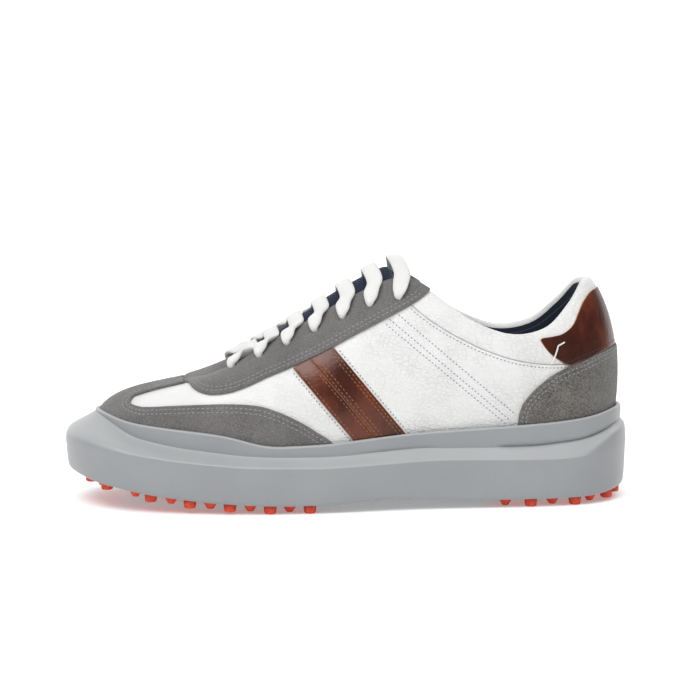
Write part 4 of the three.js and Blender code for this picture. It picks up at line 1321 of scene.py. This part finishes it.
def nubPiece(name, padPlace, columns, spots, node):
    points, faces = [], []
    rows = 4
    for level in (-0.35, 0.6):
        for j in range(rows + 1):
            for i in range(columns + 1):
                points.append(padPlace(i / columns, j / rows, level))
    sheet = (columns + 1) * (rows + 1)

    def at(i, j, level):
        return level * sheet + j * (columns + 1) + i
    for i in range(columns):
        for j in range(rows):
            faces.append((at(i, j, 0), at(i + 1, j, 0), at(i + 1, j + 1, 0), at(i, j + 1, 0)))
            faces.append((at(i, j, 1), at(i, j + 1, 1), at(i + 1, j + 1, 1), at(i + 1, j, 1)))
        faces.append((at(i, 0, 0), at(i, 0, 1), at(i + 1, 0, 1), at(i + 1, 0, 0)))
        faces.append((at(i, rows, 0), at(i + 1, rows, 0), at(i + 1, rows, 1), at(i, rows, 1)))
    for j in range(rows):
        faces.append((at(0, j, 0), at(0, j + 1, 0), at(0, j + 1, 1), at(0, j, 1)))
        faces.append((at(columns, j, 0), at(columns, j, 1), at(columns, j + 1, 1), at(columns, j + 1, 0)))
    for number, (place, outward) in enumerate(spots):
        kind = "post" if number % 2 == 0 else "cone"
        shape, shapeFaces = nubShapes[kind]
        turn = random.uniform(0, 6)
        c, s = math.cos(turn), math.sin(turn)
        first = len(points)
        drop = -nubs["height"] / 2 + (0.2 if kind == "post" else 0.35)
        for p in shape:
            lean = -(p[2] - 0.002) * 0.10
            points.append(np.array([p[0] * c - p[1] * s, p[0] * s + p[1] * c, p[2]]) + place
                          + outward * lean + (0, 0, drop * mm))
        faces += [tuple(first + i for i in face) for face in shapeFaces]
    group = meshObject(name, points, faces)
    editAll(group, ("normals_make_consistent", {"inside": False}))
    smooth(group, 38)
    dress(group, "nubRubber")
    return piece(group, "shoe", "nub_rubber", node)


def edgeNubs(name, kFrom, kTo, count, node):
    def padPlace(a, b, level):
        k = kFrom + (kTo - kFrom) * a
        return besideFoot(k, 3.0 - 12 * b, lambda x: bottomAt(x) + level)[0]
    spots = []
    for i in range(count):
        k = kFrom + (kTo - kFrom) * (i + 0.5) / count
        out = 3.6 if i % 2 == 0 else 0.9
        place = besideFoot(k, out, lambda x: bottomAt(x))[0]
        outward = place - besideFoot(k, out - 2, lambda x: bottomAt(x))[0]
        spots.append((place, outward / np.linalg.norm(outward)))
    nubPiece(name, padPlace, max(8, 4 * round(kTo - kFrom)), spots, node)


edgeNubs("heelNubsLateral", 0.75, 4.3, 6, "heel_nubs_lateral")
edgeNubs("heelNubsMedial", loopStations - 4.3, loopStations - 0.75, 6, "heel_nubs_medial")
edgeNubs("heelNubsBack", -0.55, 0.55, 3, "heel_nubs_back")
edgeNubs("forefootNubsLateral", 7.9, 11.6, 10, "forefoot_nubs_lateral")
edgeNubs("forefootNubsMedial", loopStations - 11.6, loopStations - 7.9, 10, "forefoot_nubs_medial")
edgeNubs("toeNubs", 11.9, loopStations - 11.9, 7, "toe_nubs")


def middleNubs(name, xFrom, xTo, count, node):
    def padPlace(a, b, level):
        x = (xFrom + (xTo - xFrom) * a) * stretch
        return np.array([x, float(bow(x)) + 22 * (b - 0.5) + middleY, float(bottomAt(x)) + level]) * mm
    spots = [(padPlace((i + 0.5) / count, 0.25 if i % 2 == 0 else 0.75, 0), np.zeros(3))
             for i in range(count)]
    nubPiece(name, padPlace, 16, spots, node)


middleNubs("forefootNubsMiddle", 30, 100, 5, "forefoot_nubs_middle")
middleNubs("heelNubsMiddle", -118, -74, 3, "heel_nubs_middle")
print("sole made")


# tongue: navy face wrapped over foam, lining beneath
tongue = {"rear": 7.15, "front": 12.3, "depth": 9.0, "wingT": 0.74, "crownRear": 6.5, "crownFront": -9.0}


def tongueLine(b, count):
    # one line across the tongue, b from its rear end to its front
    k = tongue["rear"] + (tongue["front"] - tongue["rear"]) * b
    other = loopStations - k
    middle = (lastPoint(k, 1.0)[0] + lastPoint(other, 1.0)[0]) / 2
    middle[2] += tongue["crownRear"] + (tongue["crownFront"] - tongue["crownRear"]) * b * b
    p = np.array([
        lastPoint(k, tongue["wingT"])[0] - lastNormal(k, tongue["wingT"])[0] * tongue["depth"],
        lastPoint(k, 0.96)[0] - lastNormal(k, 0.96)[0] * tongue["depth"],
        middle,
        lastPoint(other, 0.96)[0] - lastNormal(other, 0.96)[0] * tongue["depth"],
        lastPoint(other, tongue["wingT"])[0] - lastNormal(other, tongue["wingT"])[0] * tongue["depth"],
    ])
    p = np.vstack([2 * p[0] - p[1], p, 2 * p[-1] - p[-2]])
    fine = []
    wide = 0.5 - 0.14 * (1 - min(b / 0.10, 1.0)) ** 2
    for a in np.linspace(0.5 - wide, 0.5 + wide, count):
        u = min(a * 4, 3.9999)
        i, f = int(u) + 1, u - int(u)
        fine.append(eased(*p[i - 1:i + 3], f))
    return (np.array(fine) + (0, middleY, 0)) * mm


tongueLines = np.array([tongueLine(b, 41) for b in np.linspace(0, 1, 61)])


def tonguePiece(name, node, slot, material, top, thickness, curl=0.0, inset=0):
    lines = tongueLines[inset:len(tongueLines) - inset or None, inset:tongueLines.shape[1] - inset or None]
    across = np.gradient(lines, axis=1)
    along = np.gradient(lines, axis=0)
    down = np.cross(across, along)
    down /= np.linalg.norm(down, axis=2)[:, :, None]
    down *= np.where(down[:, :, 2:] > 0, -1, 1)
    rows, columns = lines.shape[:2]
    edge = np.minimum(np.minimum.outer(np.arange(rows), np.arange(columns)),
                      np.minimum.outer(np.arange(rows)[::-1], np.arange(columns)[::-1]))
    fall = curl * np.clip(1 - edge / 1.6, 0, 1) ** 2
    crownPuff = 0.35 * np.clip(edge / 6, 0, 1) if curl else 0 * fall
    points = lines + down * ((top + fall - crownPuff) * mm)[:, :, None]
    layer = gridMesh(name, points)
    if sum(f.normal.z * f.area for f in layer.data.polygons) < 0:
        layer.data.flip_normals()
    walled(layer, thickness)
    edge = layer.modifiers.new("edge", "BEVEL")
    edge.width, edge.segments, edge.limit_method, edge.angle_limit = 0.3 * mm, 2, "ANGLE", math.radians(60)
    applyAll(layer)
    smooth(layer, 50)
    dress(layer, material)
    return piece(layer, "tongue", slot, node)


tonguePiece("tongueFace", "tongue_face", "navy_lining", "navyKnit", 0.0, 1.0, curl=4.2)
tonguePiece("tonguePad", "tongue_foam", "cushion_foam", "cushionFoam", 1.3, 3.6, inset=2)
tonguePiece("tongueLining", "tongue_lining", "navy_lining", "navyKnit", 5.2, 0.8)
print("tongue made")

# lace: one flat lace in straight bars
lace = {"width": 9.0, "thick": 2.5, "bunch": 3.1, "crestShift": (0.0, 0.0, 0.4, 1.0, 2.0, 2.8, 3.4),
        "crest": (4.4, 4.6, 5.4, 6.0, 7.6, 8.8, 10.0)}
knots = []
insideOut = -6.7


def knot(place, side, width, thick):
    knots.append((np.array(place), np.array(side) / np.linalg.norm(side), width, thick))


def aroundAt(k, t):
    return lastPoint(k + 0.05, t)[0] - lastPoint(k - 0.05, t)[0]


def upAt(k, t):
    return lastPoint(k, min(1.0, t + 0.03))[0] - lastPoint(k, t - 0.03)[0]


def offLast(k, t, out):
    return lastPoint(k, t)[0] + lastNormal(k, t)[0] * out


def throughEyelet(k, inwards):
    t = eyelets["t"]
    steps = [
        (offLast(k, t + 0.07, 4.4), aroundAt(k, 0.95), lace["width"] * 0.95, 2.6),
        (offLast(k, t + 0.028, 4.2), aroundAt(k, t), lace["width"] * 0.80, 2.9),
        (offLast(k, t - 0.002, 2.7), aroundAt(k, t), lace["bunch"] * 1.5, lace["bunch"]),
        (offLast(k, t, -1.2), aroundAt(k, t) + upAt(k, t), lace["bunch"], lace["bunch"]),
        (offLast(k, t, insideOut + 1.6), upAt(k, t), lace["bunch"], lace["bunch"]),
    ]
    for step in steps if inwards else steps[::-1]:
        knot(*step)


def laceBar(row, fromLateral):
    near = eyeletStations[row]
    start, end = (near, loopStations - near) if fromLateral else (loopStations - near, near)
    middle = (lastPoint(start, 1.0)[0] + lastPoint(end, 1.0)[0]) / 2
    middle[2] += lace["crest"][row]
    middle[0] += lace["crestShift"][row]
    slope = aroundAt(near, 1.0) * (1, 0, 1)

    def rise(k, share):
        p = lastPoint(k, 1.0)[0] * (1 - share) + middle * share
        p[2] += 2.7 * (1 - share) + 1.4 * math.sin(math.pi * share)
        p[0] += lace["crestShift"][row] * 0.25 * (1 - share)
        return p
    throughEyelet(start, False)
    for k, share in ((start, 0), (start, 0.5), (start, 1), (end, 0.5), (end, 0)):
        knot(rise(k, share), slope, lace["width"], lace["thick"])
    throughEyelet(end, True)


tailStation = 6.75


def hang(k, t, out):
    knot(offLast(k, t, out), aroundAt(k, t), 5.8, 1.6)


for t in (0.55, 0.62, 0.7):
    hang(loopStations - tailStation, t, insideOut - 2.2)
for k in np.arange(loopStations - tailStation - 0.7, loopStations - eyeletStations[0] + 0.2, -0.5):
    knot(offLast(k, 0.76, insideOut), upAt(k, 0.76), 5.6, 1.5)
for row in range(eyelets["rows"]):
    fromLateral = row % 2 == 1
    laceBar(row, fromLateral)
    if row + 1 < eyelets["rows"]:
        for share in (0.3, 0.7):
            k = eyeletStations[row] + (eyeletStations[row + 1] - eyeletStations[row]) * share
            k = loopStations - k if fromLateral else k
            knot(offLast(k, eyelets["t"], insideOut), upAt(k, eyelets["t"]), 4.6, 1.5)
knot(offLast(tailStation + 0.2, 0.8, insideOut - 0.6), aroundAt(tailStation, 0.8), 5.6, 1.5)
for t in (0.7, 0.62, 0.55):
    hang(tailStation, t, insideOut - 2.2)


def laceMesh():
    steps, corners = 7, 14
    where = np.array([k[0] for k in knots])
    sides = []
    for _, side, _, _ in knots:
        sides.append(side if not sides or side.dot(sides[-1]) >= 0 else -side)
    fine = spline(np.hstack([where, np.array(sides), [[k[2], k[3]] for k in knots]]), steps)
    centre = fine[:, :3]
    tangent = np.gradient(centre, axis=0)
    tangent /= np.linalg.norm(tangent, axis=1)[:, None]
    side = fine[:, 3:6] - tangent * (fine[:, 3:6] * tangent).sum(axis=1)[:, None]
    side /= np.linalg.norm(side, axis=1)[:, None]
    up = np.cross(tangent, side)
    length = np.concatenate([[0], np.cumsum(np.linalg.norm(np.diff(centre, axis=0), axis=1))])
    angles = np.linspace(0, 2 * math.pi, corners, endpoint=False)
    rings = []
    for n in range(len(fine)):
        width, thick = np.clip(fine[n, 6], 2.4, 12) / 2, np.clip(fine[n, 7], 1.3, 4) / 2
        c, s = np.cos(angles), np.sin(angles)
        flatC = np.sign(c) * np.abs(c) ** 0.75
        flatS = np.sign(s) * np.abs(s) ** 0.8
        ring = centre[n] + np.outer(flatC * width, side[n]) + np.outer(flatS * thick, up[n])
        ring[:, 1] += middleY
        rings.append(ring * mm)
    cord = ringByRing("lace", rings, False, False)
    bm = bmesh.new()
    bm.from_mesh(cord.data)
    for n in (0, len(rings) - 1):
        bm.verts.ensure_lookup_table()
        bm.faces.new([bm.verts[n * corners + i] for i in range(corners)])
    bmesh.ops.recalc_face_normals(bm, faces=bm.faces)
    layer = bm.loops.layers.uv.new("UVMap")
    for face in bm.faces:
        spots = [loop.vert.index for loop in face.loops]
        turns = [i % corners for i in spots]
        for loop, turn, spot in zip(face.loops, turns, spots):
            wrapped = turn + corners if max(turns) - min(turns) > corners / 2 and turn < corners / 2 else turn
            loop[layer].uv = (wrapped / corners * 20.0, length[spot // corners])
    bm.to_mesh(cord.data)
    bm.free()
    subdivided(cord)
    smooth(cord, 80)
    dress(cord, "laceWeave")
    piece(cord, "shoe", "white_lace", "lace")
    return length[-1]


print("lace length in millimetres", round(float(laceMesh())))


def laceTip(name, k, node):
    end = offLast(k, 0.55, insideOut - 2.2)
    before = offLast(k, 0.62, insideOut - 2.2)
    way = Vector(end - before).normalized()
    clearSelection()
    bpy.ops.mesh.primitive_cylinder_add(vertices=24, radius=1.6 * mm, depth=14 * mm)
    tipBody = bpy.context.active_object
    tipBody.name = tipBody.data.name = name
    editAll(tipBody, ("bevel", {"offset": 0.35 * mm, "segments": 3, "affect": "EDGES"}))
    turn = way.to_track_quat("Z", "Y").to_matrix()
    centre = (Vector(end) + Vector((0, middleY, 0)) + way * 7.8) * mm
    for vertex in tipBody.data.vertices:
        vertex.co = turn @ vertex.co + centre
    smooth(tipBody, 40)
    dress(tipBody, "tipPlastic")
    piece(tipBody, "shoe", "lace_tip", node)


laceTip("laceTip.lateral", tailStation, "lace_tip_lateral")
laceTip("laceTip.medial", loopStations - tailStation, "lace_tip_medial")

# footbed, collar pad and the stiff pieces inside
footbed = {"edge": -6.8, "bottom": 4.0, "thick": 4.5}


def innerRing(out, lift, cup=0.0):
    ring = besideFoot(aroundSole, out, lambda x: bedAt(x) + lift)
    ring[:, 2] += cup * mm
    return ring


bottom, top = footbed["bottom"], footbed["bottom"] + footbed["thick"]
pad = ringByRing("footbedPad", [
    innerRing(footbed["edge"] - 1.2, bottom), innerRing(footbed["edge"] - 0.3, bottom + 0.3),
    innerRing(footbed["edge"], bottom + 1.4), innerRing(footbed["edge"], top - 1.2),
    innerRing(footbed["edge"] - 0.3, top - 0.2), innerRing(footbed["edge"] - 1.4, top)])
smooth(pad, 40)
dress(pad, "cushionFoam")
piece(pad, "footbed", "cushion_foam", "footbed_foam")
coverRings = [innerRing(footbed["edge"] - 1.2, top + 0.4), innerRing(footbed["edge"] - 1.0, top + 0.9),
              innerRing(footbed["edge"] - 1.4, top + 1.3), innerRing(footbed["edge"] - 3.5, top + 1.2),
              innerRing(footbed["edge"] - 9.0, top + 1.0)]
cover = ringByRing("footbedCover", coverRings)
smooth(cover, 40)
dress(cover, "navyKnit")
piece(cover, "footbed", "navy_lining", "footbed_cover")


def collarPad():
    # the foam inside the collar
    columns = 120
    ks = np.linspace(-5.5, 5.5, columns + 1)
    rings = []
    for share in np.linspace(0, 1, 9):
        t = 0.68 + 0.25 * share
        rings.append(skin(ks, t, -1.7 - 2.0 * math.sin(math.pi * share) ** 0.7))
    foam = gridMesh("collarPad", rings)
    faceOut(foam)
    walled(foam, 0.8)
    applyAll(foam)
    smooth(foam, 60)
    dress(foam, "cushionFoam")
    piece(foam, "shoe", "cushion_foam", "collar_foam")


collarPad()
insideFinishes = {"heel_counter": "stiffener", "toe_puff": "stiffener", "insole_board": "fibreBoard",
                  "shank": "springSteel"}
for node, material in insideFinishes.items():
    kept = bpy.data.objects[node]
    for slot in kept.material_slots:
        slot.material = finishes[material]
print("inside made")


# stitching
sewing = {"pitch": 2.55, "length": 1.75, "thick": 0.52}


def inK(curve, low, top):
    return curve[(curve[:, 0] >= low) & (curve[:, 0] <= top)]


def sewRows(name, curves, out, material, slot, both=True, **sizes):
    # the same rows on the outer side and, mirrored, on the inner side
    rows = []
    for curve in curves:
        rows.append(onLast(curve, out))
        if both:
            rows.append(onLast(mirrored(curve), out))
    size = {**sewing, **sizes}
    return sewRow(rows, name, material, "shoe", slot, size["length"], size["thick"], size["pitch"])


def resample(curve, count=160):
    curve = np.asarray(curve, float)
    steps = np.concatenate([[0], np.cumsum(np.linalg.norm(np.diff(curve, axis=0) * flatScale, axis=1))])
    at = np.linspace(0, steps[-1], count)
    return np.stack([np.interp(at, steps, curve[:, c]) for c in range(2)], axis=1)


def sideRow(a, b, count=60):
    # a straight row in side view
    a, b = np.array(a, float), np.array(b, float)
    return np.array([onSide(*(a + (b - a) * s) * (stretch, 1)) for s in np.linspace(0, 1, count)])


stayLine = resample(below(stayHalf, 0.975)[1:], 220)
sewRows("eyestayStitches", [insetCurve(stayLine, d, 1)[6:-4] for d in (2.1, 4.3)], 1.62,
        "suedeThread", "grey_suede")
wingLine = resample(guardHalf[(guardHalf[:, 1] > footT + 0.02)][1:-2], 320)
sewRows("toeGuardStitches", [insetCurve(wingLine, d, 1)[10:-10] for d in (2.2, 4.4)], 1.58,
        "suedeThread", "grey_suede")
heelLine = resample(heelHalf[(heelHalf[:, 1] > footT + 0.02)], 160)
heelLine = np.vstack([heelLine, (mirrored(heelLine) - (loopStations, 0))[1:]])
sewRows("heelGuardStitches", [insetCurve(heelLine, d, -1)[6:-6] for d in (2.1, 4.2)], 1.68,
        "suedeThread", "grey_suede", both=False)
def stripeRow(at, underStay, overWing=None):
    # a row along a stripe, stopped short of the eyestay and the toe guard's wing
    row = below(stripeLine(at, 30, 96, 90), 1)
    limit = np.interp(row[:, 0], eyestayCurve[::-1][:, 0], eyestayCurve[::-1][:, 1])
    row = row[row[:, 1] < limit - underStay]
    if overWing:
        wingLimit = np.interp(row[:, 0], wingCurve[:, 0], wingCurve[:, 1], left=0)
        row = row[row[:, 1] > wingLimit + overWing]
    return row


front, middle, rear = stripes["front"], stripes["middle"], stripes["rear"]
tanPlaces = (front - 1.9, middle + 2.0, middle + 0.9 - 2.6, middle - 4.2, rear + 1.9, rear + 4.2)
tanRows = [stripeRow(at, 0.02, 0.01 if at > middle else None) for at in tanPlaces]
greyRows = [stripeRow(at, 0.012, 0.012) for at in (front + 1.7, rear - 1.8)]
for side in ("lateral", "medial"):
    turned = mirrored if side == "medial" else np.array
    sewRow([onLast(turned(row), 1.12) for row in tanRows], "stripeStitches." + side, "tanThread", "shoe",
           "brown_leather", 1.7, 0.5, 2.4)
    sewRow([onLast(turned(row), 0.02) for row in greyRows], "stripeEdgeStitches." + side, "greyThread", "shoe",
           "white_leather", 1.25, 0.5, 2.1)
seams = [sideRow((-19.4, 100.0), (-84.8, 45.4)), sideRow((-17.3, 97.6), (-83.0, 43.2)),
         sideRow((-24.2, 102.4), (-88.0, 48.2))]
sewRows("quarterSeamStitches", seams, 0.02, "greyThread", "white_leather", length=1.2, thick=0.5, pitch=2.1)
seamRow = resample(inK(seamCurve, 1.9, 6.6), 200)
sewRows("collarSeamStitches", [insetCurve(seamRow, 1.6, -1)], 0.02, "greyThread", "white_leather",
        length=1.2, thick=0.48, pitch=2.1)
tabLine = resample(np.array(under), 80)
tabRow = insetCurve(tabLine, 2.2, -1)
sewRow([onLast(tabRow, 1.33), onLast(mirrored(tabRow) - (loopStations, 0), 1.33)],
       "heelTabStitches", "darkThread", "shoe", "brown_leather", 1.7, 0.5, 2.4)
print("stitches sewn")


def tackingThread():
    # a loose white thread across the heel tab's front corner
    a, b = onSide(-110 * stretch, 84.8), onSide(-106 * stretch, 75.5)
    places = np.array([np.array(a) + (np.array(b) - np.array(a)) * s for s in np.linspace(0, 1, 9)])
    lift = 1.5 + 0.7 * np.sin(np.linspace(0, math.pi, 9))
    centre = skin(places[:, 0], places[:, 1], lift)
    c = onSide(-113.5 * stretch, 86.5)
    tailEnd = np.array([np.array(a) + (np.array(c) - np.array(a)) * s for s in np.linspace(0, 1, 5)])
    strands = {"tackingThread": centre, "tackingThreadTail": skin(tailEnd[:, 0], tailEnd[:, 1], 1.6)}
    for name, line in strands.items():
        bpy.ops.curve.primitive_bezier_curve_add()
        strand = bpy.context.active_object
        strand.name = name
        strandLine = strand.data.splines[0]
        strandLine.bezier_points.add(len(line) - 2)
        for point, place in zip(strandLine.bezier_points, line):
            point.co = place
            point.handle_left_type = point.handle_right_type = "AUTO"
        strand.data.bevel_depth, strand.data.bevel_resolution = 0.42 * mm, 3
        strand.data.use_fill_caps = True
        only(strand)
        bpy.ops.object.convert(target="MESH")
        strand = bpy.context.active_object
        smooth(strand, 70)
        dress(strand, "whiteThread")
        piece(strand, "shoe", "white_lace")


tackingThread()
